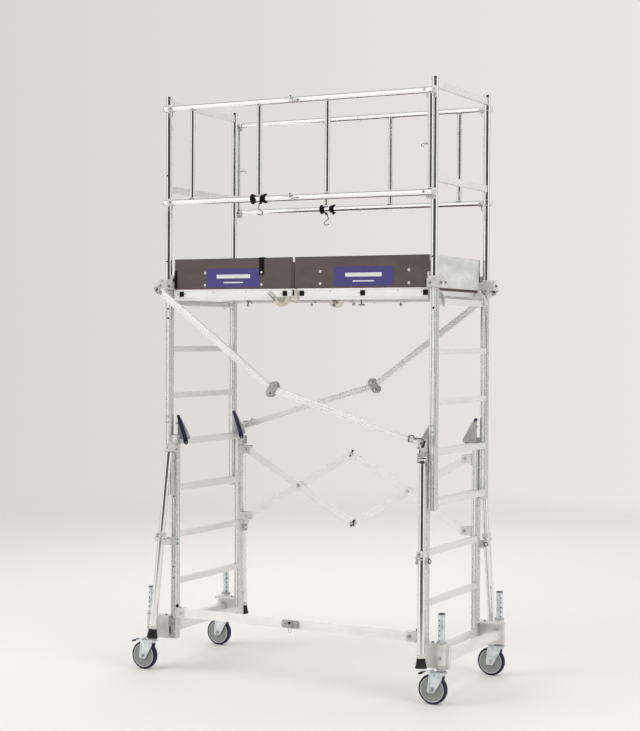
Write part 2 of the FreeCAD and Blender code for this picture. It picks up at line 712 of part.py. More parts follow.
def guard_hinge(tag, way, half, level):
    """Build one leaf of the hinge in the middle of a side rail."""
    inward = way if half == "free" else -way
    low_x = 0.5 if inward > 0 else -40.5
    low_z = f"rail_{level} + 0.3" if half == "pivot" else f"rail_{level} - 14"
    near = "rail_y + rail_radius"
    low_y = f"-({near}) - 14" if way > 0 else near
    return box(f"hinge_{tag}_{half}_{level}", (40, 14, 13.7), (low_x, low_y, low_z))


def guard_ring(tag, way, level):
    """Build the ring that turns on the pivot post."""
    where = (f"{-way} * upper_x", f"{-way} * guard_y", f"rail_{level} - 13")
    return cut(
        f"ring_{tag}_{level}",
        rod(f"ring_out_{tag}_{level}", "rail_y - rail_radius - guard_y", 26, where),
        rod(f"ring_in_{tag}_{level}", "post_radius + running_gap", 26, where),
    )


def platform():
    """Build the two platform halves, the hatch, the claws and the toe boards."""
    beams = []
    crosses = []
    for side in (-1, 1):
        for across in (-1, 1):
            low_x = "6" if side > 0 else "-deck_x - 3"
            beams.append(box_tube(
                f"side_beam_{side}_{across}", "side_beam_height", "side_beam_thick",
                2, "deck_x - 3",
                (low_x, f"{across} * (deck_y + 1 + side_beam_thick / 2)",
                 "deck_top - side_beam_height / 2"),
                (0, 1, 0), 90))
    for index, x in enumerate((-698, -65, 35, 384, 728)):
        crosses.append(box_tube(
            f"cross_{index}", "cross_size", "cross_size", 2, "2 * deck_y + 2",
            (x, "-deck_y - 1", "deck_top - deck_thick - cross_size / 2"),
            (-1, 0, 0), 90))
    node("side_beams", *beams)
    node("cross_tubes", *crosses)
    claws = []
    shape = plate("claw_br", (
        ("deck_x + 1", "upper_first + 4 * rung_pitch - 12"),
        ("deck_x + 17", "upper_first + 4 * rung_pitch - 12"),
        ("deck_x + 17", "upper_first + 4 * rung_pitch + rung_size / 2 + 1"),
        ("deck_x + 54", "upper_first + 4 * rung_pitch + rung_size / 2 + 1"),
        ("deck_x + 54", "upper_first + 4 * rung_pitch - 26"),
        ("deck_x + 64", "upper_first + 4 * rung_pitch - 26"),
        ("deck_x + 68", "upper_first + 4 * rung_pitch + 12"),
        ("deck_x + 58", "upper_first + 4 * rung_pitch + 38"),
        ("deck_x + 36", "deck_top - deck_thick - 1"),
        ("deck_x + 1", "deck_top - deck_thick - 1"),
    ), 12, (0, 262, 0))
    claws = four_corners("claw", shape)
    node("platform_claws", *claws)
    left = box("deck_left_board", ("deck_x - 8", "2 * deck_y", "deck_thick"),
               ("-deck_x", "-deck_y", "deck_top - deck_thick"))
    hole = box("hatch_hole", ("hatch_length", "hatch_width", 60),
               ("-hatch_x - hatch_length / 2", "-hatch_width / 2", "deck_top - 40"))
    node("deck_left", cut("deck_left_cut", left, hole))
    node("deck_right", box(
        "deck_right_board", ("deck_x - 6", "2 * deck_y", "deck_thick"),
        (6, "-deck_y", "deck_top - deck_thick")))
    node("hatch", box(
        "hatch_board",
        ("hatch_length - 2 * hatch_gap", "hatch_width - 2 * hatch_gap", "deck_thick"),
        ("-hatch_x - hatch_length / 2 + hatch_gap", "-hatch_width / 2 + hatch_gap",
         "deck_top - deck_thick")))
    toe_boards()


def toe_boards():
    """Build the boards that stand round the edge of the deck."""
    sides = []
    for across in (-1, 1):
        low_y = f"{across} * toe_y - toe_thick / 2"
        sides.append(box(f"toe_left_{across}", ("toe_x - 27", "toe_thick", "toe_height"),
                         ("-toe_x", low_y, "deck_top + 1")))
        sides.append(box(f"toe_right_{across}", ("toe_x + 10", "toe_thick", "toe_height"),
                         (-10, low_y, "deck_top + 1")))
    node("toe_boards_side", *sides)
    ends = [
        box(f"toe_end_{side}", (10, "2 * deck_y - 10", "toe_height"),
            ("deck_x + 0.5" if side > 0 else "-deck_x - 10.5", "-deck_y + 5",
             "deck_top + 1"))
        for side in (-1, 1)
    ]
    node("toe_boards_end", *ends)


def brace(tag, way):
    """Build one folding brace; way is 1 in front, -1 behind."""
    y = f"{-way} * brace_y"
    drop = "(brace_top_z - elbow_z)"
    reach = "(brace_top_x - elbow_x)"
    low = "(elbow_z - brace_foot_z)"
    run = "(brace_foot_x + elbow_x)"
    upper = box_tube(
        f"brace_upper_tube_{tag}", "brace_height", "brace_thick", 2,
        f"sqrt({drop} ^ 2 + {reach} ^ 2) - 21 + 26",
        (f"{-way} * brace_top_x - {way} * 26 * {reach} / sqrt({drop} ^ 2 + {reach} ^ 2)",
         y, f"brace_top_z + 26 * {drop} / sqrt({drop} ^ 2 + {reach} ^ 2)"),
        (0, way, 0), f"atan2({reach}; -{drop})")
    plates = [
        box(f"elbow_plate_{side}_{tag}", (76, 4, 76),
            (f"{-way} * elbow_x - 38", low_y, "elbow_z - 38"))
        for side, low_y in (("a", f"{y} - brace_thick / 2 - 4"),
                            ("b", f"{y} + brace_thick / 2"))
    ]
    node(f"brace_upper_{tag}", upper, *plates)
    lower = box_tube(
        f"brace_lower_tube_{tag}", "brace_height", "brace_thick - 1", 2,
        f"sqrt({low} ^ 2 + {run} ^ 2) - 12 + 16",
        (f"{-way} * elbow_x + {way} * 12 * {run} / sqrt({low} ^ 2 + {run} ^ 2)",
         y, f"elbow_z - 12 * {low} / sqrt({low} ^ 2 + {run} ^ 2)"),
        (0, way, 0), f"atan2({run}; -{low})")
    boss = along_y(f"elbow_boss_{tag}", 17, "brace_thick - 1",
                   (f"{-way} * elbow_x", f"{y} - brace_thick / 2 + 0.5", "elbow_z"))
    node(f"brace_lower_{tag}", fuse(f"brace_lower_joined_{tag}", lower, boss))
    face = "frame_y + upper_depth / 2"
    gap = f"brace_y - brace_thick / 2 - 0.5 - ({face})"
    low_y = f"-({face}) - ({gap})" if way > 0 else face
    stud = along_y(f"brace_stud_{tag}", 12, gap,
                   (f"{-way} * brace_top_x", low_y, "brace_top_z"))
    return stud, brace_catch(tag, way)


def brace_catch(tag, way):
    """Build the bracket on the lower frame that the brace's foot hooks on."""
    face = "frame_y + lower_depth / 2"
    low_x = "lower_x - lower_width / 2" if way > 0 else "-lower_x - lower_width / 2 + 2"
    back = box(f"catch_back_{tag}", ("lower_width - 2", 6, 62), (
        low_x, f"-({face}) - 6" if way > 0 else face, "brace_foot_z - 48"))
    gap = f"brace_y - brace_thick / 2 - 0.5 - ({face})"
    arm = box(f"catch_arm_{tag}", (18, gap, 26), (
        "lower_x - 1" if way > 0 else "-lower_x - 17",
        f"-({face}) - ({gap})" if way > 0 else face, "brace_foot_z - 13"))
    return fuse(f"catch_{tag}", back, arm)


def finish():
    """Recompute, check every object and export the nodes."""
    DOC.recompute()
    for obj in DOC.Objects:
        if "Invalid" in obj.State or "Error" in obj.State:
            raise RuntimeError(f"{obj.Label} did not compute: {obj.State}")
    os.makedirs("parts", exist_ok=True)
    for obj in NODES:
        shape = obj.Shape
        if shape.isNull() or not shape.isValid() or not shape.Solids:
            raise RuntimeError(f"{obj.Label} is not a valid solid")
        shape.exportStep(f"parts/{obj.Label}.step")
        print(obj.Label, len(shape.Solids), round(shape.Volume / 1000), "cm3")


fill_sheet()
ladder_frames()
foot_castings()
scissor()
ledger()
hooks()
casters()
guard_panel("front", 1)
guard_panel("back", -1)
platform()
STUDS, CATCHES = zip(brace("front", 1), brace("back", -1))
guard_posts(STUDS)
stabilisers(CATCHES)
finish()
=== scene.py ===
"""Visual model of a mobile tower scaffold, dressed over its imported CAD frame.

Every length is in metres.  X runs along the platform, Y across it and Z up.
Shapes are drawn about the middle of the frames and then moved by MIDDLE.
"""
import json
import logging
import math
from dataclasses import dataclass
from enum import Enum
from typing import Iterable, Sequence

import bmesh
import bpy
from mathutils import Matrix, Vector


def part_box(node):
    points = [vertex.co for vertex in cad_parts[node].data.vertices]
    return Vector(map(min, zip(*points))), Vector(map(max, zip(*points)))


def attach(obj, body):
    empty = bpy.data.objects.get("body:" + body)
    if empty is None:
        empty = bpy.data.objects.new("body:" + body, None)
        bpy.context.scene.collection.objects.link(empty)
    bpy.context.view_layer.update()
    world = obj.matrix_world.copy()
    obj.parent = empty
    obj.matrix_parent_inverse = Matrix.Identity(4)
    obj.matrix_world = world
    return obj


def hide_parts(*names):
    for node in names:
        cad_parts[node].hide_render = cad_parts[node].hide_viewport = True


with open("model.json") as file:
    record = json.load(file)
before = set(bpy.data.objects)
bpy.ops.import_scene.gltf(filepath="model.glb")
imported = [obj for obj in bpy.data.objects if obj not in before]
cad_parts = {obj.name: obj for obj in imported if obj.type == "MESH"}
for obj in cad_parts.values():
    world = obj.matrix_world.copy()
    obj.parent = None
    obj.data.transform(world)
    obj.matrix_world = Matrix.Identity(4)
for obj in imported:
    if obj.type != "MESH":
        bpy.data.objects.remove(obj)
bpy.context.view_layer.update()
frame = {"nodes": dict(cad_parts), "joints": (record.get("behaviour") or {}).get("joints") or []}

LOG = logging.getLogger("tower")
Point = Sequence[float]
Colour = tuple[float, float, float, float]
UPRIGHTS_LOW, UPRIGHTS_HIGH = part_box("lower_uprights")
MIDDLE = (UPRIGHTS_LOW.x + UPRIGHTS_HIGH.x) / 2
WELD = 1e-6
LEVEL = 1e-9
SMOOTH_BELOW = math.radians(26.0)
SHARP_ABOVE = math.radians(40.0)


class Corner(Enum):
    """One of the four corners, with its tag and the signs of its X and Y."""

    FRONT_LEFT = ("fl", -1, -1)
    FRONT_RIGHT = ("fr", 1, -1)
    BACK_LEFT = ("bl", -1, 1)
    BACK_RIGHT = ("br", 1, 1)

    @property
    def tag(self) -> str:
        """Return the short name used in the CAD node names."""
        return self.value[0]

    @property
    def signs(self) -> tuple[int, int]:
        """Return the signs of X and Y at this corner."""
        return self.value[1:]

    def mirror(self) -> Matrix:
        """Return the mirror that carries a back right shape to this corner."""
        return Matrix.Diagonal((*self.signs, 1, 1))

    def place(self) -> Matrix:
        """Return the mirror, moved to the middle of the frames."""
        return Matrix.Translation((MIDDLE, 0, 0)) @ self.mirror()


class Flank(Enum):
    """The front or the back of the tower; the back is the front turned round."""

    FRONT = ("front", 0.0)
    BACK = ("back", math.pi)

    @property
    def tag(self) -> str:
        """Return the word used in the CAD names."""
        return self.value[0]

    def turn(self) -> Matrix:
        """Return the turn that carries a front shape to this flank."""
        return Matrix.Rotation(self.value[1], 4, "Z")

    def place(self) -> Matrix:
        """Return the turn, moved to the middle of the frames."""
        return Matrix.Translation((MIDDLE, 0, 0)) @ self.turn()


class Grain(Enum):
    """The direction in which a metal was drawn, as scales along X, Y and Z."""

    ALONG_X = (1.5, 90.0, 90.0)
    ALONG_Y = (90.0, 1.5, 90.0)
    ALONG_Z = (90.0, 90.0, 1.5)
    EVEN = (40.0, 40.0, 40.0)


class Tree:
    """A material's node tree in the making."""

    def __init__(self, name: str) -> None:
        """Start an empty material with a shader and its output.

        Args:
            name: the material's name.
        """
        self.material = bpy.data.materials.new(name)
        self.material.use_nodes = True
        self.nodes = self.material.node_tree.nodes
        self.nodes.clear()
        self.output = self.nodes.new("ShaderNodeOutputMaterial")
        self.shader = self.nodes.new("ShaderNodeBsdfPrincipled")
        self.link(self.shader.outputs["BSDF"], self.output.inputs["Surface"])
        self.coords = self.nodes.new("ShaderNodeTexCoord").outputs["Object"]

    def link(self, source: bpy.types.NodeSocket, target: bpy.types.NodeSocket) -> None:
        """Join two sockets."""
        self.material.node_tree.links.new(source, target)

    def set(self, **values: object) -> None:
        """Set or link the shader's own sockets, named with underscores."""
        for key, value in values.items():
            self.feed(self.shader, key.replace("_", " "), value)

    def feed(self, node: bpy.types.Node, name: str | int, value: object) -> None:
        """Set one input of a node to a value, or link it to a socket.

        Args:
            node: the node.
            name: the input's name or number.
            value: a plain value, or the socket to link.
        """
        if isinstance(value, bpy.types.NodeSocket):
            self.link(value, node.inputs[name])
        else:
            node.inputs[name].default_value = value

    def add(self, kind: str, settings: dict[str, object] | None = None,
            **inputs: object) -> bpy.types.Node:
        """Add a node.

        Args:
            kind: the node's type, without its ShaderNode start.
            settings: properties to set on it.
            inputs: input sockets, named with underscores.

        Returns:
            The new node.
        """
        node = self.nodes.new("ShaderNode" + kind)
        for key, value in (settings or {}).items():
            setattr(node, key, value)
        for key, value in inputs.items():
            self.feed(node, key.replace("_", " "), value)
        return node

    def combine(self, operation: str, *values: object) -> bpy.types.NodeSocket:
        """Return the result of a sum on values and sockets.

        Args:
            operation: the math node's operation.
            values: its inputs, in order.

        Returns:
            The result's socket.
        """
        node = self.add("Math", {"operation": operation})
        for index, value in enumerate(values):
            self.feed(node, index, value)
        return node.outputs[0]

    def stretch(self, scale: Point, turn: Point = (0, 0, 0)) -> bpy.types.NodeSocket:
        """Return the object coordinates, scaled and turned."""
        return self.add("Mapping", Vector=self.coords, Scale=scale,
                        Rotation=turn).outputs["Vector"]

    def noise(self, scale: float, where: bpy.types.NodeSocket | None = None,
              detail: float = 4.0) -> bpy.types.NodeSocket:
        """Return the value of a noise texture."""
        node = self.add("TexNoise", Vector=where or self.coords, Scale=scale, Detail=detail)
        return node.outputs["Fac"]

    def ramp(self, value: bpy.types.NodeSocket,
             stops: Iterable[tuple[float, Colour]]) -> bpy.types.NodeSocket:
        """Return the colour that a value picks from a ramp.

        Args:
            value: the driving value.
            stops: pairs of a place from 0 to 1 and a colour.

        Returns:
            The ramp's colour socket.
        """
        node = self.add("ValToRGB", Fac=value)
        points = node.color_ramp.elements
        for index, (place, colour) in enumerate(stops):
            point = points[index] if index < 2 else points.new(place)
            point.position = place
            point.color = colour
        return node.outputs["Color"]

    def spread(self, value: bpy.types.NodeSocket, low: float,
               high: float) -> bpy.types.NodeSocket:
        """Return a value from a noise spread between two ends."""
        node = self.add("MapRange", Value=value, From_Min=0.3, From_Max=0.7,
                        To_Min=low, To_Max=high)
        return node.outputs["Result"]

    def bump(self, height: bpy.types.NodeSocket, strength: float, distance: float) -> None:
        """Feed a height to the shader's normal."""
        node = self.add("Bump", Height=height, Strength=strength, Distance=distance)
        self.link(node.outputs["Normal"], self.shader.inputs["Normal"])


def shade(colour: Point, factor: float) -> Colour:
    """Return a colour made lighter or darker by a factor."""
    return tuple(min(1.0, part * factor) for part in colour[:3]) + (1.0,)


@dataclass(frozen=True)
class Finish:
    """A surface finish: a name, the record's slot it belongs to, which is not used, and a
    colour.
    """

    name: str
    slot: str
    colour: tuple[float, float, float]

    def material(self) -> bpy.types.Material:
        """Return the finish's material, made on first use.

        Returns:
            The material.
        """
        known = bpy.data.materials.get(self.name)
        if known is not None:
            return known
        tree = Tree(self.name)
        self.dress(tree)
        return tree.material

    def dress(self, tree: Tree) -> None:
        """Fill the material's node tree.

        Args:
            tree: the material's tree.
        """
        raise NotImplementedError


@dataclass(frozen=True)
class DrawnMetal(Finish):
    """Extruded or drawn aluminium with fine lines along its length."""

    grain: Grain = Grain.ALONG_Z
    rough: float = 0.32
    metallic: float = 1.0
    score: float = 0.008

    def dress(self, tree: Tree) -> None:
        """Fill the node tree with die lines, handling marks and soft stains.

        Args:
            tree: the material's tree.
        """
        lines = tree.noise(3.0, tree.stretch(self.grain.value), 6.0)
        stains = tree.noise(5.5, None, 5.0)
        scuffs = tree.noise(38.0, tree.stretch((1, 1, 0.6)), 8.0)
        tone = tree.combine("MULTIPLY_ADD", lines, 0.5, tree.combine("MULTIPLY", stains, 0.5))
        colour = tree.ramp(tone, (
            (0.32, shade(self.colour, 0.92)), (0.50, shade(self.colour, 1.0)),
            (0.66, shade(self.colour, 1.05))))
        tree.set(Base_Color=colour, Metallic=self.metallic,
                 Roughness=tree.spread(scuffs, self.rough * 0.8, self.rough * 1.35))
        tree.bump(lines, self.score, 0.0004)


@dataclass(frozen=True)
class CastMetal(Finish):
    """Sand or pressure cast aluminium with a pebbled skin."""

    def dress(self, tree: Tree) -> None:
        """Fill the node tree with a pebbled skin and darker hollows.

        Args:
            tree: the material's tree.
        """
        skin = tree.noise(420.0, None, 3.0)
        cloud = tree.noise(14.0, None, 5.0)
        colour = tree.ramp(cloud, ((0.30, shade(self.colour, 0.86)),
                                   (0.55, shade(self.colour, 1.0)),
                                   (0.75, shade(self.colour, 1.08))))
        tree.set(Base_Color=colour, Metallic=0.30,
                 Roughness=tree.spread(skin, 0.44, 0.60))
        tree.bump(skin, 0.12, 0.0005)


@dataclass(frozen=True)
class ZincPlate(Finish):
    """Bright blue-passivated zinc on steel."""

    def dress(self, tree: Tree) -> None:
        """Fill the node tree with a faint spangle and darker rubbed spots.

        Args:
            tree: the material's tree.
        """
        spangle = tree.add("TexVoronoi", Vector=tree.coords, Scale=160.0)
        cloud = tree.noise(22.0, None, 6.0)
        colour = tree.ramp(cloud, ((0.28, shade(self.colour, 0.70)),
                                   (0.52, shade(self.colour, 1.0)),
                                   (0.74, (0.86, 0.88, 0.88, 1.0))))
        tree.set(Base_Color=colour, Metallic=0.95,
                 Roughness=tree.spread(cloud, 0.26, 0.42))
        tree.bump(spangle.outputs["Distance"], 0.08, 0.0004)


@dataclass(frozen=True)
class Moulded(Finish):
    """Moulded plastic or rubber with a fine eroded grain."""

    rough: float = 0.45
    grain: float = 900.0
    dust: float = 1.5
    shine: float = 0.3

    def dress(self, tree: Tree) -> None:
        """Fill the node tree with the mould's grain and a little dust.

        Args:
            tree: the material's tree.
        """
        skin = tree.noise(self.grain, None, 2.0)
        dust = tree.noise(26.0, None, 7.0)
        colour = tree.ramp(dust, ((0.35, shade(self.colour, 0.88)),
                                  (0.58, shade(self.colour, 1.0)),
                                  (0.80, shade(self.colour, self.dust))))
        tree.set(Base_Color=colour, Specular_IOR_Level=self.shine,
                 Roughness=tree.spread(dust, self.rough * 0.85, self.rough * 1.3))
        tree.bump(skin, 0.12, 0.0004)


@dataclass(frozen=True)
class FilmBoard(Finish):
    """Film-faced plywood: a smooth dark face, lighter where it is rubbed."""

    edge: tuple[float, float, float] = (0.36, 0.24, 0.15)

    def dress(self, tree: Tree) -> None:
        """Fill the node tree with a soft weave, cloudy film and rubbed streaks.

        Args:
            tree: the material's tree.
        """
        weave = tree.add("TexWave", {"wave_type": "BANDS", "bands_direction": "DIAGONAL"},
                         Vector=tree.coords, Scale=150.0, Distortion=2.0, Detail=2.0)
        cloud = tree.noise(7.0, tree.stretch((1.0, 1.0, 3.0)), 8.0)
        streaks = tree.noise(5.0, tree.stretch((1.6, 20.0, 30.0)), 6.0)
        base = tree.ramp(cloud, ((0.30, shade(self.colour, 0.80)),
                                 (0.52, shade(self.colour, 1.0)),
                                 (0.78, shade(self.colour, 1.25))))
        rub = tree.ramp(streaks, ((0.66, (0, 0, 0, 1)), (0.80, (0.22, 0.22, 0.22, 1))))
        mix = tree.add("Mix", {"data_type": "RGBA", "blend_type": "MIX"}, Factor=rub)
        for socket, value in ((6, base), (7, (*self.edge, 1.0))):
            tree.feed(mix, socket, value)
        tree.set(Base_Color=mix.outputs[2], Roughness=tree.spread(cloud, 0.34, 0.52))
        tree.bump(weave.outputs["Fac"], 0.10, 0.0004)


@dataclass(frozen=True)
class TreadBoard(Finish):
    """Anti-slip plywood deck with a pressed wire-mesh pattern."""

    def dress(self, tree: Tree) -> None:
        """Fill the node tree with the crossed mesh and trodden patches.

        Args:
            tree: the material's tree.
        """
        bars = []
        for turn in (math.radians(45), math.radians(-45)):
            wave = tree.add("TexWave", {"wave_type": "BANDS", "bands_direction": "X"},
                            Vector=tree.stretch((1, 1, 1), (0, 0, turn)), Scale=44.0)
            bars.append(wave.outputs["Fac"])
        mesh = tree.combine("MAXIMUM", *bars)
        cloud = tree.noise(4.0, None, 8.0)
        colour = tree.ramp(cloud, ((0.30, shade(self.colour, 0.72)),
                                   (0.54, shade(self.colour, 1.0)),
                                   (0.80, shade(self.colour, 1.45))))
        tree.set(Base_Color=colour, Roughness=tree.spread(cloud, 0.45, 0.68))
        tree.bump(mesh, 0.45, 0.0012)


@dataclass(frozen=True)
class PaintedMark(Finish):
    """Printed vinyl label stock, slightly glossy."""

    rough: float = 0.30

    def dress(self, tree: Tree) -> None:
        """Fill the node tree with faint print mottling.

        Args:
            tree: the material's tree.
        """
        dots = tree.noise(220.0, None, 2.0)
        colour = tree.ramp(dots, ((0.35, shade(self.colour, 0.90)),
                                  (0.65, shade(self.colour, 1.08))))
        tree.set(Base_Color=colour, Roughness=tree.spread(dots, self.rough * 0.9,
                                                          self.rough * 1.2))
        tree.bump(dots, 0.04, 0.0003)


EXTRUDED_Z = DrawnMetal("aluminium_upright", "aluminium", (0.76, 0.76, 0.75), Grain.ALONG_Z,
                        0.26, 0.65)
EXTRUDED_Y = DrawnMetal("aluminium_rung", "aluminium", (0.82, 0.82, 0.81), Grain.ALONG_Y,
                        0.42, 0.38)
EXTRUDED_X = DrawnMetal("aluminium_beam", "aluminium", (0.92, 0.92, 0.91), Grain.ALONG_X,
                        0.42, 0.30)
SATIN = DrawnMetal("aluminium_satin", "aluminium", (0.84, 0.84, 0.83), Grain.EVEN, 0.42, 0.35)
DARK_WIRE = ZincPlate("spring_wire_dark", "zinc_steel", (0.10, 0.10, 0.11))
POLISHED_X = DrawnMetal("aluminium_rail", "aluminium", (0.90, 0.90, 0.88), Grain.ALONG_X,
                        0.13, 1.0)
POLISHED_Z = DrawnMetal("aluminium_post", "aluminium", (0.88, 0.88, 0.86), Grain.ALONG_Z,
                        0.13, 1.0)
CAST = CastMetal("alloy_casting", "cast_alloy", (0.46, 0.46, 0.44))
CAST_BRIGHT = CastMetal("alloy_casting_bright", "cast_alloy", (0.74, 0.735, 0.71))
ZINC = ZincPlate("zinc_plate", "zinc_steel", (0.70, 0.80, 0.84))
HOOK_STEEL = ZincPlate("hook_steel", "zinc_steel", (0.24, 0.245, 0.25))
BOLT_STEEL = ZincPlate("bolt_steel", "zinc_steel", (0.58, 0.59, 0.60))
TOE_FILM = FilmBoard("toe_board_film", "film_ply", (0.100, 0.073, 0.066), (0.17, 0.13, 0.12))
TREAD = TreadBoard("deck_tread", "deck_ply", (0.10, 0.055, 0.040))
PALE = FilmBoard("pale_laminate", "pale_board", (0.66, 0.67, 0.65), (0.48, 0.50, 0.49))
CORE_GREY = Moulded("wheel_core_grey", "wheel_core", (0.30, 0.31, 0.295), 0.42, 700.0, 1.2)
RING_GREY = Moulded("wheel_ring_pale", "wheel_core", (0.60, 0.61, 0.60), 0.40, 700.0, 1.15)
TYRE_NAVY = Moulded("tyre_navy", "wheel_core", (0.014, 0.016, 0.060), 0.55, 500.0, 2.0)
BLACK = Moulded("moulded_black", "lever_black", (0.006, 0.006, 0.007), 0.50, 900.0, 2.0, 0.15)
LEVER_BLUE = Moulded("lever_blue_black", "lever_black", (0.016, 0.019, 0.075), 0.40, 800.0, 1.8)
RUBBER = Moulded("foot_rubber", "lever_black", (0.016, 0.016, 0.017), 0.62, 420.0, 2.6)
CREAM = Moulded("grip_cream", "wheel_core", (0.66, 0.61, 0.52), 0.45, 650.0, 1.1)
# A darker cream used only as painted shade on the middle of each grip.
CREAM_PAINTED_SHADE = Moulded("grip_cream_painted_shade", "wheel_core", (0.40, 0.365, 0.30), 0.5, 650.0, 1.1)
LABEL = PaintedMark("label_purple", "film_ply", (0.055, 0.040, 0.22))
LABEL_PALE = PaintedMark("label_white", "pale_board", (0.78, 0.78, 0.80))
LABEL_FAINT = PaintedMark("label_faint_green", "pale_board", (0.56, 0.60, 0.57))


def rounded(width: float, depth: float, corner: float, steps: int = 4) -> list[Vector]:
    """Return a rectangle with rounded corners, counter-clockwise.

    Args:
        width: size along the first axis.
        depth: size along the second axis.
        corner: corner radius.
        steps: points round each corner.

    Returns:
        The outline's points.
    """
    points = []
    for index, (sx, sy) in enumerate(((1, -1), (1, 1), (-1, 1), (-1, -1))):
        for step in range(steps + 1):
            turn = math.radians(-90 + 90 * index + 90 * step / steps)
            points.append(Vector((sx * (width / 2 - corner) + corner * math.cos(turn),
                                  sy * (depth / 2 - corner) + corner * math.sin(turn), 0)))
    return points


def channelled(width: float, depth: float, grooves: Sequence[Sequence[float]],
               cut: float = 0.003, deep: float = 0.0018,
               corner: float = 0.003) -> list[Vector]:
    """Return a rectangle whose sides carry long grooves, counter-clockwise.

    Args:
        width: size along the first axis.
        depth: size along the second axis.
        grooves: places of the grooves on the -V, +U, +V and -U sides.
        cut: width of a groove.
        deep: depth of a groove.
        corner: corner radius.

    Returns:
        The outline's points.
    """
    points: list[Vector] = []
    for index, places in enumerate(grooves):
        long_side, out = (width, depth) if index % 2 == 0 else (depth, width)
        turn = Matrix.Rotation(math.radians(90 * index), 3, "Z")
        flat = [(-long_side / 2 + corner, 0.0)]
        for place in places:
            flat += [(place - cut / 2, 0.0), (place - cut * 0.3, -deep),
                     (place + cut * 0.3, -deep), (place + cut / 2, 0.0)]
        flat.append((long_side / 2 - corner, 0.0))
        points += [turn @ Vector((u, -out / 2 - v, 0)) for u, v in flat]
        bend = Vector((long_side / 2 - corner * 0.3, -out / 2 + corner * 0.3, 0))
        points.append(turn @ bend)
    return points


def level_edges(part: bmesh.types.BMesh) -> list[bmesh.types.BMEdge]:
    """Return the edges that lie level, which are the end rims of a prism."""
    return [item for item in part.edges
            if abs(item.verts[0].co.z - item.verts[1].co.z) < LEVEL]


def ease(part: bmesh.types.BMesh, edges: Sequence[bmesh.types.BMEdge], width: float,
         clamp: bool = False) -> None:
    """Round some edges off with a narrow bevel."""
    bmesh.ops.bevel(part, geom=edges, offset=width, segments=2, profile=0.5,
                    affect="EDGES", material=-1, clamp_overlap=clamp)


def close_up(part: bmesh.types.BMesh) -> None:
    """Merge a form's doubled points and turn its faces outwards."""
    bmesh.ops.remove_doubles(part, verts=part.verts, dist=WELD)
    bmesh.ops.recalc_face_normals(part, faces=part.faces)


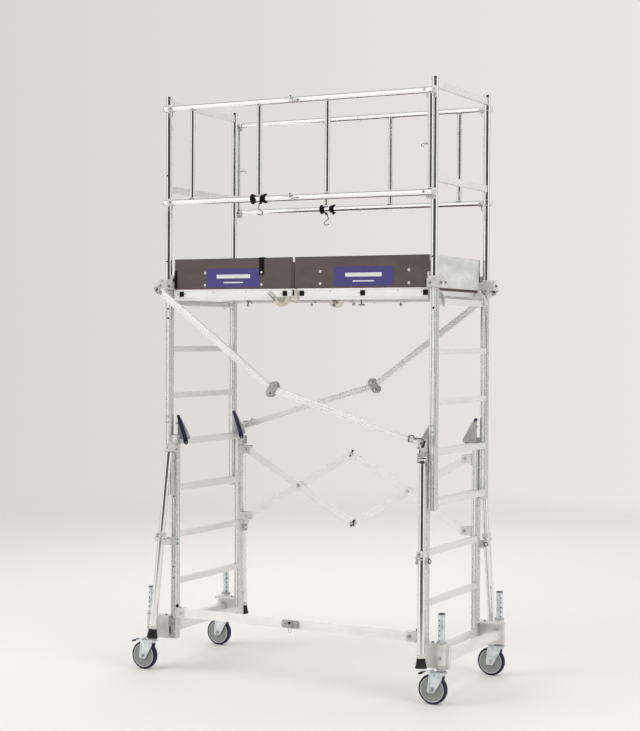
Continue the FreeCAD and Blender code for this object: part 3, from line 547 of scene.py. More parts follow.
class Shape:
    """A mesh in the making; each call adds one closed form to it."""

    def __init__(self, where: Matrix | None = None) -> None:
        """Start an empty mesh.

        Args:
            where: a transform for everything that is added.
        """
        self.where = where or Matrix.Translation((MIDDLE, 0, 0))
        self.mesh = bpy.data.meshes.new("shape")
        self.whole = bmesh.new()

    def take(self, part: bmesh.types.BMesh, local: Matrix | None = None) -> "Shape":
        """Add a finished form, placed by its own transform and the shape's.

        Args:
            part: the form, which is freed.
            local: the form's own transform.

        Returns:
            This shape.
        """
        full = self.where @ (local or Matrix())
        bmesh.ops.transform(part, matrix=full, verts=part.verts)
        if full.determinant() < 0:
            bmesh.ops.reverse_faces(part, faces=part.faces)
        scratch = bpy.data.meshes.new("scratch")
        part.to_mesh(scratch)
        part.free()
        self.whole.from_mesh(scratch)
        bpy.data.meshes.remove(scratch)
        return self

    def block(self, low: Point, high: Point, edge: float = 0.001,
              local: Matrix | None = None) -> "Shape":
        """Add a box with bevelled edges between two corners.

        Args:
            low: the lowest corner.
            high: the highest corner.
            edge: width of the bevel, less on a thin box.
            local: a further transform.

        Returns:
            This shape.
        """
        part = bmesh.new()
        bmesh.ops.create_cube(part, size=1.0)
        size = Vector(high) - Vector(low)
        bmesh.ops.scale(part, vec=size, verts=part.verts)
        bmesh.ops.translate(part, vec=(Vector(low) + Vector(high)) / 2, verts=part.verts)
        ease(part, part.edges[:], min(edge, min(size) * 0.45))
        return self.take(part, local)

    def rod(self, start: Point, end: Point, radius: float, tip: float | None = None,
            sides: int = 24, edge: float = 0.0006, local: Matrix | None = None) -> "Shape":
        """Add a cylinder or cone between two points, its rims bevelled.

        Args:
            start: centre of the first end.
            end: centre of the second end.
            radius: radius at the first end.
            tip: radius at the second end, where it differs.
            sides: faces round the axis.
            edge: width of the rims' bevel, less on a small rod.
            local: a further transform.

        Returns:
            This shape.
        """
        first, last = Vector(start), Vector(end)
        axis = last - first
        part = bmesh.new()
        bmesh.ops.create_cone(part, cap_ends=True, segments=sides, radius1=radius,
                              radius2=radius if tip is None else tip, depth=axis.length)
        ease(part, level_edges(part), min(edge, axis.length * 0.3, radius * 0.4))
        place = Matrix.Translation((first + last) / 2)
        turn = axis.to_track_quat("Z", "Y").to_matrix().to_4x4()
        return self.take(part, (local or Matrix()) @ place @ turn)

    def lathe(self, outline: Sequence[tuple[float, float]], base: Point = (0, 0, 0),
              axis: Point = (0, 0, 1), steps: int = 32, closed: bool = False,
              local: Matrix | None = None) -> "Shape":
        """Turn an outline of radius and height pairs about an axis.

        Args:
            outline: pairs of radius and height above the base.
            base: where height is zero on the axis.
            axis: the axis of turning.
            steps: faces round the axis.
            closed: join the outline's ends, for a ring.
            local: a further transform.

        Returns:
            This shape.
        """
        part = bmesh.new()
        verts = [part.verts.new((radius, 0, height)) for radius, height in outline]
        pairs = list(zip(verts, verts[1:])) + ([(verts[-1], verts[0])] if closed else [])
        edges = [part.edges.new(pair) for pair in pairs]
        bmesh.ops.spin(part, geom=verts + edges, cent=(0, 0, 0), axis=(0, 0, 1),
                       angle=math.tau, steps=steps, use_merge=True)
        close_up(part)
        turn = Vector(axis).to_track_quat("Z", "Y").to_matrix().to_4x4()
        return self.take(part, (local or Matrix()) @ Matrix.Translation(base) @ turn)

    def extrude(self, outline: Sequence[Vector], start: Point, end: Point,
                across: Point, edge: float = 0.0, local: Matrix | None = None) -> "Shape":
        """Push a closed outline from one point to another.

        Args:
            outline: the section's points.
            start: centre of the first end.
            end: centre of the second end.
            across: direction of the section's first axis.
            edge: bevel of the two end rims.
            local: a further transform.

        Returns:
            This shape.
        """
        run = Vector(end) - Vector(start)
        axis = run.normalized()
        side = (Vector(across) - axis * axis.dot(Vector(across))).normalized()
        up = axis.cross(side)
        part = bmesh.new()
        face = part.faces.new([part.verts.new(point) for point in outline])
        pushed = bmesh.ops.extrude_face_region(part, geom=[face])
        moved = [item for item in pushed["geom"] if isinstance(item, bmesh.types.BMVert)]
        bmesh.ops.translate(part, vec=(0, 0, run.length), verts=moved)
        bmesh.ops.recalc_face_normals(part, faces=part.faces)
        if edge:
            ease(part, level_edges(part), edge)
        turn = Matrix((side, up, axis)).transposed().to_4x4()
        return self.take(part, (local or Matrix()) @ Matrix.Translation(start) @ turn)

    def wire(self, points: Sequence[Point], radius: float, closed: bool = False,
             local: Matrix | None = None) -> "Shape":
        """Add a bent wire that follows a smooth line near the points.

        Args:
            points: the line's control points.
            radius: the wire's radius.
            closed: join the wire's ends, for a ring.
            local: a further transform.

        Returns:
            This shape.
        """
        curve = bpy.data.curves.new("wire", "CURVE")
        curve.dimensions = "3D"
        curve.bevel_depth = radius
        curve.bevel_resolution = 2
        curve.use_fill_caps = True
        spline = curve.splines.new("NURBS")
        spline.points.add(len(points) - 1)
        for target, source in zip(spline.points, points):
            target.co = (*source, 1.0)
        spline.order_u = 3
        spline.use_endpoint_u = not closed
        spline.use_cyclic_u = closed
        spline.resolution_u = 6
        holder = bpy.data.objects.new("wire", curve)
        mesh = bpy.data.meshes.new_from_object(holder)
        part = bmesh.new()
        part.from_mesh(mesh)
        close_up(part)
        bpy.data.objects.remove(holder)
        bpy.data.curves.remove(curve)
        bpy.data.meshes.remove(mesh)
        return self.take(part, local)

    def bolt(self, at: Point, axis: Point, size: float = 0.012,
             local: Matrix | None = None) -> "Shape":
        """Add a washer and a hexagon head that stand on a face.

        Args:
            at: the bolt's centre on the face.
            axis: the way out of the face.
            size: the head's width across its flats, nearly.
            local: a further transform.

        Returns:
            This shape.
        """
        way = Vector(axis).normalized()
        base = Vector(at)
        self.rod(base - way * 0.001, base + way * 0.0016, size * 0.78, sides=24, local=local)
        head = base + way * 0.0016
        self.rod(head, head + way * size * 0.45, size * 0.56, sides=6, edge=0.0008,
                 local=local)
        tip = head + way * size * 0.45
        return self.rod(tip, tip + way * size * 0.22, size * 0.26, sides=16, local=local)

    def rivet(self, at: Point, axis: Point, radius: float = 0.005,
              local: Matrix | None = None) -> "Shape":
        """Add a low domed rivet head on a face.

        Args:
            at: the rivet's centre on the face.
            axis: the way out of the face.
            radius: the head's radius.
            local: a further transform.

        Returns:
            This shape.
        """
        dome = [(radius, -0.0006), (radius, radius * 0.18), (radius * 0.82, radius * 0.42),
                (radius * 0.45, radius * 0.56), (0.0, radius * 0.60)]
        return self.lathe(dome, at, axis, 16, local=local)

    def spot(self, at: Point, axis: Point, radius: float = 0.005,
             local: Matrix | None = None) -> "Shape":
        """Add a dark disc of painted shade for the inside of a hole, just proud of a face so
        that it shows.

        Args:
            at: the hole's centre on the face.
            axis: the way out of the face.
            radius: the hole's radius.
            local: a further transform.

        Returns:
            This shape.
        """
        way = Vector(axis).normalized()
        return self.rod(Vector(at) - way * 0.002, Vector(at) + way * 0.0003, radius,
                        sides=18, edge=0.0001, local=local)

    def cad(self, node: str, edge: float = 0.0008) -> "Shape":
        """Add a copy of a CAD node whose sharp edges are eased.

        Args:
            node: the node's name.
            edge: width of the bevel.

        Returns:
            This shape.
        """
        part = bmesh.new()
        part.from_mesh(frame["nodes"][node].data)
        bmesh.ops.remove_doubles(part, verts=part.verts, dist=WELD)
        bmesh.ops.dissolve_limit(part, angle_limit=math.radians(0.6), verts=part.verts,
                                 edges=part.edges, use_dissolve_boundaries=False)
        sharp = [item for item in part.edges
                 if len(item.link_faces) == 2 and item.calc_face_angle(0) > SHARP_ABOVE]
        ease(part, sharp, edge, True)
        return self.take(part, self.where.inverted())

    def finish(self, name: str, look: Finish, body: str,
               replaces: Sequence[str] = ()) -> bpy.types.Object:
        """Make the object, dress it and join it to a CAD body.

        Args:
            name: the piece's name.
            look: its finish.
            body: the CAD body it rides on.
            replaces: the CAD nodes it stands for.

        Returns:
            The new object.
        """
        self.whole.to_mesh(self.mesh)
        self.whole.free()
        self.mesh.name = name
        count = len(self.mesh.polygons)
        self.mesh.polygons.foreach_set("use_smooth", [True] * count)
        self.mesh.set_sharp_from_angle(angle=SMOOTH_BELOW)
        self.mesh.materials.append(look.material())
        piece = bpy.data.objects.new(name, self.mesh)
        bpy.context.scene.collection.objects.link(piece)
        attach(piece, body)
        if replaces:
            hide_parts(*replaces)
        LOG.info("%s: %d faces on %s", name, count, body)
        return piece


def eased(node: str, look: Finish, body: str, edge: float = 0.0008) -> bpy.types.Object:
    """Replace a CAD node by a copy with eased edges."""
    return Shape().cad(node, edge).finish(f"{node}_eased", look, body, (node,))


def turned_about(at: Point, axis: str, degrees: float) -> Matrix:
    """Return a turn about a point."""
    place = Matrix.Translation(at)
    return place @ Matrix.Rotation(math.radians(degrees), 4, axis) @ place.inverted()


@dataclass
class LadderFrames:
    """The lower and upper end frames with their ribbed rungs."""

    lower_x: float = 0.735
    upper_x: float = 0.778
    side_y: float = 0.330
    pitch: float = 0.250
    rung: float = 0.030
    rung_count: int = 5
    lower_first: float = 0.230
    upper_first: float = 0.980
    lower_tube: tuple[float, float] = (0.036, 0.040)
    upper_tube: tuple[float, float] = (0.038, 0.032)
    lower_span: tuple[float, float] = (0.172, 1.268)
    upper_span: tuple[float, float] = (0.946, 2.050)
    left_catches: tuple[float, ...] = (1.947, 1.897)
    right_catches: tuple[float, ...] = (1.947,)
    lower_catches: tuple[float, ...] = (0.500, 0.560, 0.940)
    upper_rivets: tuple[float, ...] = (1.366, 1.335)
    lower_rivets: tuple[float, ...] = (1.228, 1.130)

    def build(self) -> None:
        """Build both frames."""
        self.uprights("lower", "base", self.lower_x, self.lower_tube, self.lower_span)
        self.uprights("upper", "upper_tower", self.upper_x, self.upper_tube, self.upper_span)
        self.rungs("lower", "base", self.lower_x, self.lower_first,
                   self.side_y - self.lower_tube[1] / 2)
        self.rungs("upper", "upper_tower", self.upper_x, self.upper_first,
                   self.side_y - self.upper_tube[1] / 2)
        self.upper_holes()
        self.lower_holes()

    def uprights(self, level: str, body: str, x: float, size: tuple[float, float],
                 span: tuple[float, float]) -> None:
        """Build four grooved uprights and the plugs in their open ends.

        Args:
            level: lower or upper, as in the CAD names.
            body: the CAD body they ride on.
            x: distance from the middle.
            size: the tube's width and depth.
            span: heights of the two ends.
        """
        metal, plugs = Shape(), Shape()
        wide, deep = size
        grooves = ((-wide * 0.22, wide * 0.22), (-deep * 0.2, deep * 0.2))
        outline = channelled(wide, deep, grooves * 2, 0.0042, 0.0034, 0.0028)
        for sx in (-1, 1):
            for sy in (-1, 1):
                metal.extrude(outline, (sx * x, sy * self.side_y, span[0]),
                              (sx * x, sy * self.side_y, span[1]), (1, 0, 0), 0.0005)
                for end, way in ((span[0], -1), (span[1], 1)):
                    low, high = sorted((end - way * 0.004, end + way * 0.0012))
                    plugs.block((sx * x - wide * 0.38, sy * self.side_y - deep * 0.38, low),
                                (sx * x + wide * 0.38, sy * self.side_y + deep * 0.38, high))
        metal.finish(f"{level}_upright_profiles", EXTRUDED_Z, body, (f"{level}_uprights",))
        plugs.finish(f"{level}_upright_plugs", BLACK, body)

    def rungs(self, level: str, body: str, x: float, first: float, reach: float) -> None:
        """Build the rungs, ribbed on top, with a weld round each end.

        Args:
            level: lower or upper, as in the CAD names.
            body: the CAD body they ride on.
            x: distance from the middle.
            first: height of the lowest rung.
            reach: half a rung's length.
        """
        metal, welds = Shape(), Shape()
        weld = self.rung / 2 + 0.0015
        ribs = (-0.0105, -0.0063, -0.0021, 0.0021, 0.0063, 0.0105)
        outline = channelled(self.rung, self.rung, ((), (-0.006, 0.006), ribs, (-0.006, 0.006)),
                             0.0026, 0.0011, 0.0026)
        for sx in (-1, 1):
            for step in range(self.rung_count):
                z = first + step * self.pitch
                metal.extrude(outline, (sx * x, reach, z), (sx * x, -reach, z), (1, 0, 0))
                for sy in (-1, 1):
                    low, high = sorted((sy * (reach - 0.0035), sy * (reach + 0.0012)))
                    welds.block((sx * x - weld, low, z - weld),
                                (sx * x + weld, high, z + weld), 0.0016)
        metal.finish(f"{level}_rung_profiles", EXTRUDED_Y, body, (f"{level}_rungs",))
        welds.finish(f"{level}_rung_welds", SATIN, body)

    def upper_holes(self) -> None:
        """Add black discs of painted shade for the catch holes, and the rivets, on the upper
        uprights' faces.
        """
        dark, rivets = Shape(), Shape()
        front = self.side_y + self.upper_tube[1] / 2
        for sx, catches in ((-1, self.left_catches), (1, self.right_catches)):
            for z in catches:
                for sy in (-1, 1):
                    dark.spot((sx * self.upper_x, sy * front, z), (0, sy, 0), 0.0055)
            for z in self.upper_rivets:
                for sy in (-1, 1):
                    for shift in (-0.004, 0.008):
                        rivets.rivet((sx * self.upper_x + sx * shift, sy * front, z),
                                     (0, sy, 0))
        dark.finish("upper_catch_hole_painted_shade", BLACK, "upper_tower")
        rivets.finish("upper_rivets", BOLT_STEEL, "upper_tower")

    def lower_holes(self) -> None:
        """Add black discs of painted shade for the catch holes, and the rivets, on the lower
        uprights' faces.
        """
        dark, rivets = Shape(), Shape()
        front = self.side_y + self.lower_tube[1] / 2
        for sx in (-1, 1):
            for sy in (-1, 1):
                for z in self.lower_rivets:
                    rivets.rivet((sx * self.lower_x, sy * front, z), (0, sy, 0))
                for z in self.lower_catches:
                    dark.spot((sx * self.lower_x, sy * front, z), (0, sy, 0), 0.0045)
        dark.finish("lower_catch_hole_painted_shade", BLACK, "base")
        rivets.finish("lower_rivets", BOLT_STEEL, "base")


@dataclass
class BaseCastings:
    """The foot castings with the jack sleeves, and the beams between them."""

    stem: tuple[float, float] = (0.851, 0.384)
    collars: tuple[float, ...] = (0.302, 0.1755, 0.1890)
    side_bolts: tuple[float, ...] = (0.196, 0.236, 0.274)

    def build(self) -> None:
        """Build the castings, beams and their fasteners."""
        eased("foot_castings", CAST_BRIGHT, "base", 0.0022)
        eased("end_beams", EXTRUDED_Y, "base", 0.0022)
        trims, bolts, dark = Shape(), Shape(), Shape()
        x, y = self.stem
        for corner in Corner:
            place = corner.mirror()
            ring = [(0.0177, 0.0), (0.0252, 0.0), (0.0262, 0.002), (0.0262, 0.006),
                    (0.0250, 0.008), (0.0177, 0.008)]
            for z in self.collars:
                trims.lathe(ring, (x, y, z), closed=True, local=place)
            trims.block((0.718, 0.3555, 0.176), (0.768, 0.3600, 0.292), 0.0035, local=place)
            for z in self.side_bolts:
                bolts.bolt((0.731, 0.360, z), (0, 1, 0), 0.013, local=place)
            bolts.bolt((0.757, 0.360, 0.255), (0, 1, 0), 0.010, local=place)
            bolts.bolt((0.786, 0.340, 0.293), (0, 0, 1), 0.012, local=place)
            bolts.bolt((x, y + 0.0235, 0.232), (0, 1, 0), 0.014, local=place)
            bolts.bolt((x, y - 0.032, 0.2505), (0, 0, 1), 0.012, local=place)
            dark.block((0.722, 0.3585, 0.2885), (0.766, 0.3612, 0.2915), 0.0008, local=place)
            dark.block((0.745, 0.3595, 0.200), (0.763, 0.3606, 0.238), 0.0004, local=place)
        trims.finish("foot_casting_rings", CAST, "base")
        bolts.finish("foot_casting_bolts", BOLT_STEEL, "base")
        dark.finish("foot_casting_dark_trim", BLACK, "base")


@dataclass
class Caster:
    """One jack stem with its swivel fork, wheel and brake pedal."""

    corner: Corner
    x: float = 0.851
    y: float = 0.384
    trail: float = 0.044
    wheel_radius: float = 0.075
    hole_count: int = 6
    hole_pitch: float = 0.025
    top_hole: float = 0.418

    def __post_init__(self) -> None:
        """Work out the stem's centre in the whole object."""
        sx, sy = self.corner.signs
        self.at = Matrix.Translation((MIDDLE + sx * self.x, sy * self.y, 0))

    def build(self) -> None:
        """Build the caster's four bodies."""
        self.jack()
        self.fork()
        self.wheel()
        self.pedal()

    def jack(self) -> None:
        """Build the stem's row of holes as black rods of painted shade, its cap and bearing
        race.
        """
        tag = self.corner.tag
        eased(f"jack_stem_{tag}", ZINC, f"jack_{tag}", 0.0006)
        dark = Shape(self.at)
        dark.lathe([(0.0, 0.2808), (0.0190, 0.2808), (0.0195, 0.2822), (0.0188, 0.2842),
                    (0.0140, 0.2856), (0.0, 0.2860)], (0, 0, 0.166))
        # The holes face the way that each stem happens to be turned.
        lie = Vector((-0.29, -0.957, 0) if self.corner.signs[1] < 0 else (0.71, -0.704, 0))
        # Each hole is a short black rod sunk into the stem, painted shade for the hole's dark
        # inside.
        for step in range(self.hole_count):
            for way in (lie, -lie):
                base = way * 0.0172 + Vector((0, 0, self.top_hole - self.hole_pitch * step))
                dark.rod(base - way * 0.004, base + way * 0.0004, 0.0042, sides=14)
        dark.finish(f"jack_cap_and_hole_shade_{tag}", BLACK, f"jack_{tag}")
        race = Shape(self.at)
        race.lathe([(0.0, 0.1585), (0.0262, 0.1585), (0.0290, 0.1615), (0.0290, 0.1650),
                    (0.0240, 0.1672), (0.0190, 0.1700), (0.0180, 0.1748), (0.0, 0.1748)])
        race.finish(f"jack_race_{tag}", BOLT_STEEL, f"jack_{tag}")

    def fork(self) -> None:
        """Build the fork's housing, axle nut and rivets."""
        tag = self.corner.tag
        eased(f"caster_fork_{tag}", ZINC, f"fork_{tag}", 0.0010)
        trim = Shape(self.at)
        trim.lathe([(0.0, 0.1445), (0.0205, 0.1445), (0.0225, 0.1480), (0.0225, 0.1545),
                    (0.0, 0.1545)])
        axle = (-self.trail, 0.0, self.wheel_radius)
        for way in (-1, 1):
            trim.bolt((axle[0], way * 0.0222, axle[2]), (0, way, 0), 0.017)
            for px, pz in ((-0.004, 0.140), (-0.030, 0.146), (0.004, 0.118)):
                trim.rivet((px, way * 0.0219, pz), (0, way, 0), 0.0042)
            trim.block((-0.0560, way * 0.0220 - 0.0008, 0.0600),
                       (-0.0510, way * 0.0220 + 0.0008, 0.1400), 0.0007)
        trim.finish(f"fork_fittings_{tag}", BOLT_STEEL, f"fork_{tag}")

    def wheel(self) -> None:
        """Build the tyre, its pale ring, the dished core and the hub."""
        tag = self.corner.tag
        base = (-self.trail, 0.0, self.wheel_radius)
        tyre = [(0.0632, -0.0150), (0.0650, -0.0160), (0.0695, -0.0158), (0.0730, -0.0130),
                (0.0745, -0.0085), (0.0750, -0.0035), (0.0750, 0.0035), (0.0745, 0.0085),
                (0.0730, 0.0130), (0.0695, 0.0158), (0.0650, 0.0160), (0.0632, 0.0150)]
        Shape(self.at).lathe(tyre, base, (0, 1, 0), 56, True).finish(
            f"wheel_tyre_{tag}", TYRE_NAVY, f"wheel_{tag}")
        ring = [(0.0590, -0.0140), (0.0598, -0.0157), (0.0632, -0.0157), (0.0638, -0.0120),
                (0.0638, 0.0120), (0.0632, 0.0157), (0.0598, 0.0157), (0.0590, 0.0140)]
        Shape(self.at).lathe(ring, base, (0, 1, 0), 56, True).finish(
            f"wheel_ring_{tag}", RING_GREY, f"wheel_{tag}")
        core = [(0.0062, -0.0158), (0.0120, -0.0158), (0.0132, -0.0148), (0.0140, -0.0128),
                (0.0400, -0.0118), (0.0560, -0.0128), (0.0580, -0.0142), (0.0594, -0.0145),
                (0.0594, 0.0145), (0.0580, 0.0142), (0.0560, 0.0128), (0.0400, 0.0118),
                (0.0140, 0.0128), (0.0132, 0.0148), (0.0120, 0.0158), (0.0062, 0.0158)]
        shape = Shape(self.at).lathe(core, base, (0, 1, 0), 56, True)
        shape.finish(f"wheel_core_{tag}", CORE_GREY, f"wheel_{tag}", (f"wheel_{tag}",))

    def pedal(self) -> None:
        """Build the pedal's black ribbed tip."""
        tag = self.corner.tag
        eased(f"brake_pedal_{tag}", ZINC, f"pedal_{tag}", 0.0008)
        tip = Shape(self.at)
        slope = turned_about((-0.050, 0, 0.168), "Y", -17.6)
        tip.block((-0.121, -0.0200, 0.1625), (-0.092, 0.0200, 0.1705), 0.0025, local=slope)
        for step in range(4):
            tip.block((-0.118 + 0.0065 * step, -0.0165, 0.1700),
                      (-0.1155 + 0.0065 * step, 0.0165, 0.1722), 0.0006, local=slope)
        tip.finish(f"pedal_tip_{tag}", BLACK, f"pedal_{tag}")


@dataclass
class Scissor:
    """The folding bars between the lower frames, with pins and end caps."""

    high: float = 1.155
    low: float = 0.771
    reach: float = 0.675
    inner_y: float = 0.322
    outer_y: float = 0.338

    def build(self) -> None:
        """Build the bars, their clips, pins and caps."""
        eased("scissor_bars", EXTRUDED_X, "base", 0.0016)
        eased("scissor_clips", CAST_BRIGHT, "base", 0.0022)
        pins, caps = Shape(), Shape()
        middle = (self.high + self.low) / 2
        for sx in (-1, 1):
            for z in (self.high, self.low):
                pins.rod((sx * self.reach, 0.304, z), (sx * self.reach, 0.356, z), 0.0055)
                pins.bolt((sx * self.reach, 0.354, z), (0, 1, 0), 0.013)
                pins.bolt((sx * self.reach, 0.306, z), (0, -1, 0), 0.013)
                for dz in (-0.022, 0.022):
                    pins.bolt((sx * 0.7105, 0.330, z + dz), (-sx, 0, 0), 0.010)
            pins.rod((sx * self.reach / 2, 0.311, middle), (sx * self.reach / 2, 0.349, middle),
                     0.0050)
            pins.rivet((sx * self.reach / 2, 0.3455, middle), (0, 1, 0), 0.011)
            pins.rivet((sx * self.reach / 2, 0.3145, middle), (0, -1, 0), 0.011)
        for z in (self.high, self.low):
            pins.rod((0, 0.306, z), (0, 0.354, z), 0.0055)
            pins.rivet((0, 0.3455, z), (0, 1, 0), 0.010)
            pins.rivet((0, 0.3135, z), (0, -1, 0), 0.010)
        slope = math.degrees(math.atan2(self.high - self.low, self.reach))
        ends = ((-1, self.low, self.inner_y, slope), (-1, self.high, self.outer_y, -slope),
                (1, self.low, self.outer_y, -slope), (1, self.high, self.inner_y, slope))
        for side, z, y, lean in ends:
            turn = turned_about((0, y, z), "Y", lean)
            low_x, high_x = sorted((-side * 0.0075, side * 0.0010))
            caps.block((low_x, y - 0.0082, z - 0.0207), (high_x, y + 0.0082, z + 0.0207),
                       0.0022, local=turn)
        pins.finish("scissor_pins", BOLT_STEEL, "base")
        caps.finish("scissor_end_caps", BLACK, "base")


@dataclass
class Ledger:
    """The folding bar along the front of the base."""

    y: float = -0.357
    z: float = 0.318

    def build(self) -> None:
        """Build both halves, the latch and the end clips."""
        eased("ledger_clips", CAST_BRIGHT, "base", 0.0024)
        eased("ledger_left", EXTRUDED_X, "ledger_left", 0.0022)
        eased("ledger_right", EXTRUDED_X, "ledger_right", 0.0022)
        fixed, black = Shape(), Shape()
        for sx in (-1, 1):
            x = sx * 0.672
            fixed.bolt((x, self.y - 0.0180, self.z), (0, -1, 0), 0.015)
            fixed.bolt((x, self.y + 0.0180, self.z), (0, 1, 0), 0.015)
            fixed.bolt((sx * 0.7085, self.y - 0.0178, self.z + 0.016), (0, -1, 0), 0.009)
            fixed.bolt((sx * 0.7085, self.y - 0.0178, self.z - 0.016), (0, -1, 0), 0.009)
            black.rod((sx * 0.7085, self.y + 0.004, self.z + 0.027),
                      (sx * 0.7085, self.y + 0.004, self.z + 0.041), 0.0085, 0.0070)
        fixed.finish("ledger_clip_bolts", BOLT_STEEL, "base")
        black.finish("ledger_clip_screws", BLACK, "base")
        self.latch()

    def latch(self) -> None:
        """Build the latch in the middle: a cheek, its pins and a button."""
        cheek, pins, button = Shape(), Shape(), Shape()
        front = self.y - 0.0165
        cheek.extrude(rounded(0.104, 0.040, 0.012), (0, front + 0.001, self.z + 0.002),
                      (0, front - 0.004, self.z + 0.002), (1, 0, 0), 0.0008)
        cheek.block((-0.014, front - 0.011, self.z - 0.016),
                    (0.014, front - 0.002, self.z + 0.024), 0.004)
        for x in (-0.037, 0.037):
            pins.bolt((x, front - 0.004, self.z + 0.002), (0, -1, 0), 0.012)
        pull = ((-0.008, -0.008, -0.012), (-0.010, -0.009, -0.034), (0.0, -0.010, -0.046),
                (0.010, -0.009, -0.034), (0.008, -0.008, -0.012))
        pins.wire([(x, front + y, self.z + z) for x, y, z in pull], 0.0016)
        button.rod((0, front - 0.010, self.z + 0.010),
                   (0, front - 0.019, self.z + 0.010), 0.0065)
        cheek.finish("ledger_latch_cheek", CAST, "ledger_left")
        pins.finish("ledger_latch_pins", BOLT_STEEL, "ledger_left")
        button.finish("ledger_latch_button", BLACK, "ledger_left")


@dataclass
class Hooks:
    """The spring hooks that hold the upper frames on the lower ones."""

    plate_y: tuple[float, float] = (0.283, 0.299)
    lever_y: float = 0.2915

    def build(self) -> None:
        """Build the plates, the levers and their pivots."""
        eased("hook_plates", CAST, "base", 0.0016)
        bolts = Shape()
        for corner in Corner:
            place = corner.mirror()
            sx, sy = corner.signs
            y = self.plate_y[0 if sx == sy else 1]
            bolts.rivet((0.741, y + 0.0030, 1.352), (0, 1, 0), 0.006, local=place)
            for x, z in ((0.741, 1.268), (0.706, 1.262)):
                bolts.rivet((x, y - 0.0032, z), (0, -1, 0), 0.006, local=place)
            bolts.rod((0.745, y - 0.004, 1.330), (0.745, 0.312, 1.330), 0.005, local=place)
            self.lever(corner)
        bolts.finish("hook_plate_rivets", BOLT_STEEL, "base")

    def lever(self, corner: Corner) -> None:
        """Build one lever with its ring end and grip ribs.

        Args:
            corner: the corner it hangs at.
        """
        tag = corner.tag
        body = f"lever_{tag}"
        eased(f"hook_lever_{tag}", LEVER_BLUE, body, 0.0014)
        trim = Shape(corner.place())
        y = self.lever_y
        ring = [(0.692, y, 1.252), (0.684, y, 1.232), (0.690, y, 1.217), (0.704, y, 1.222),
                (0.712, y, 1.240), (0.706, y, 1.254)]
        trim.wire(ring, 0.0038, True)
        for step in range(4):
            x, z = 0.7405 - 0.0085 * step, 1.352 - 0.022 * step
            trim.rod((x - 0.008, y, z), (x + 0.006, y, z - 0.003), 0.0040, sides=12)
        trim.finish(f"hook_lever_ring_{tag}", LEVER_BLUE, body)


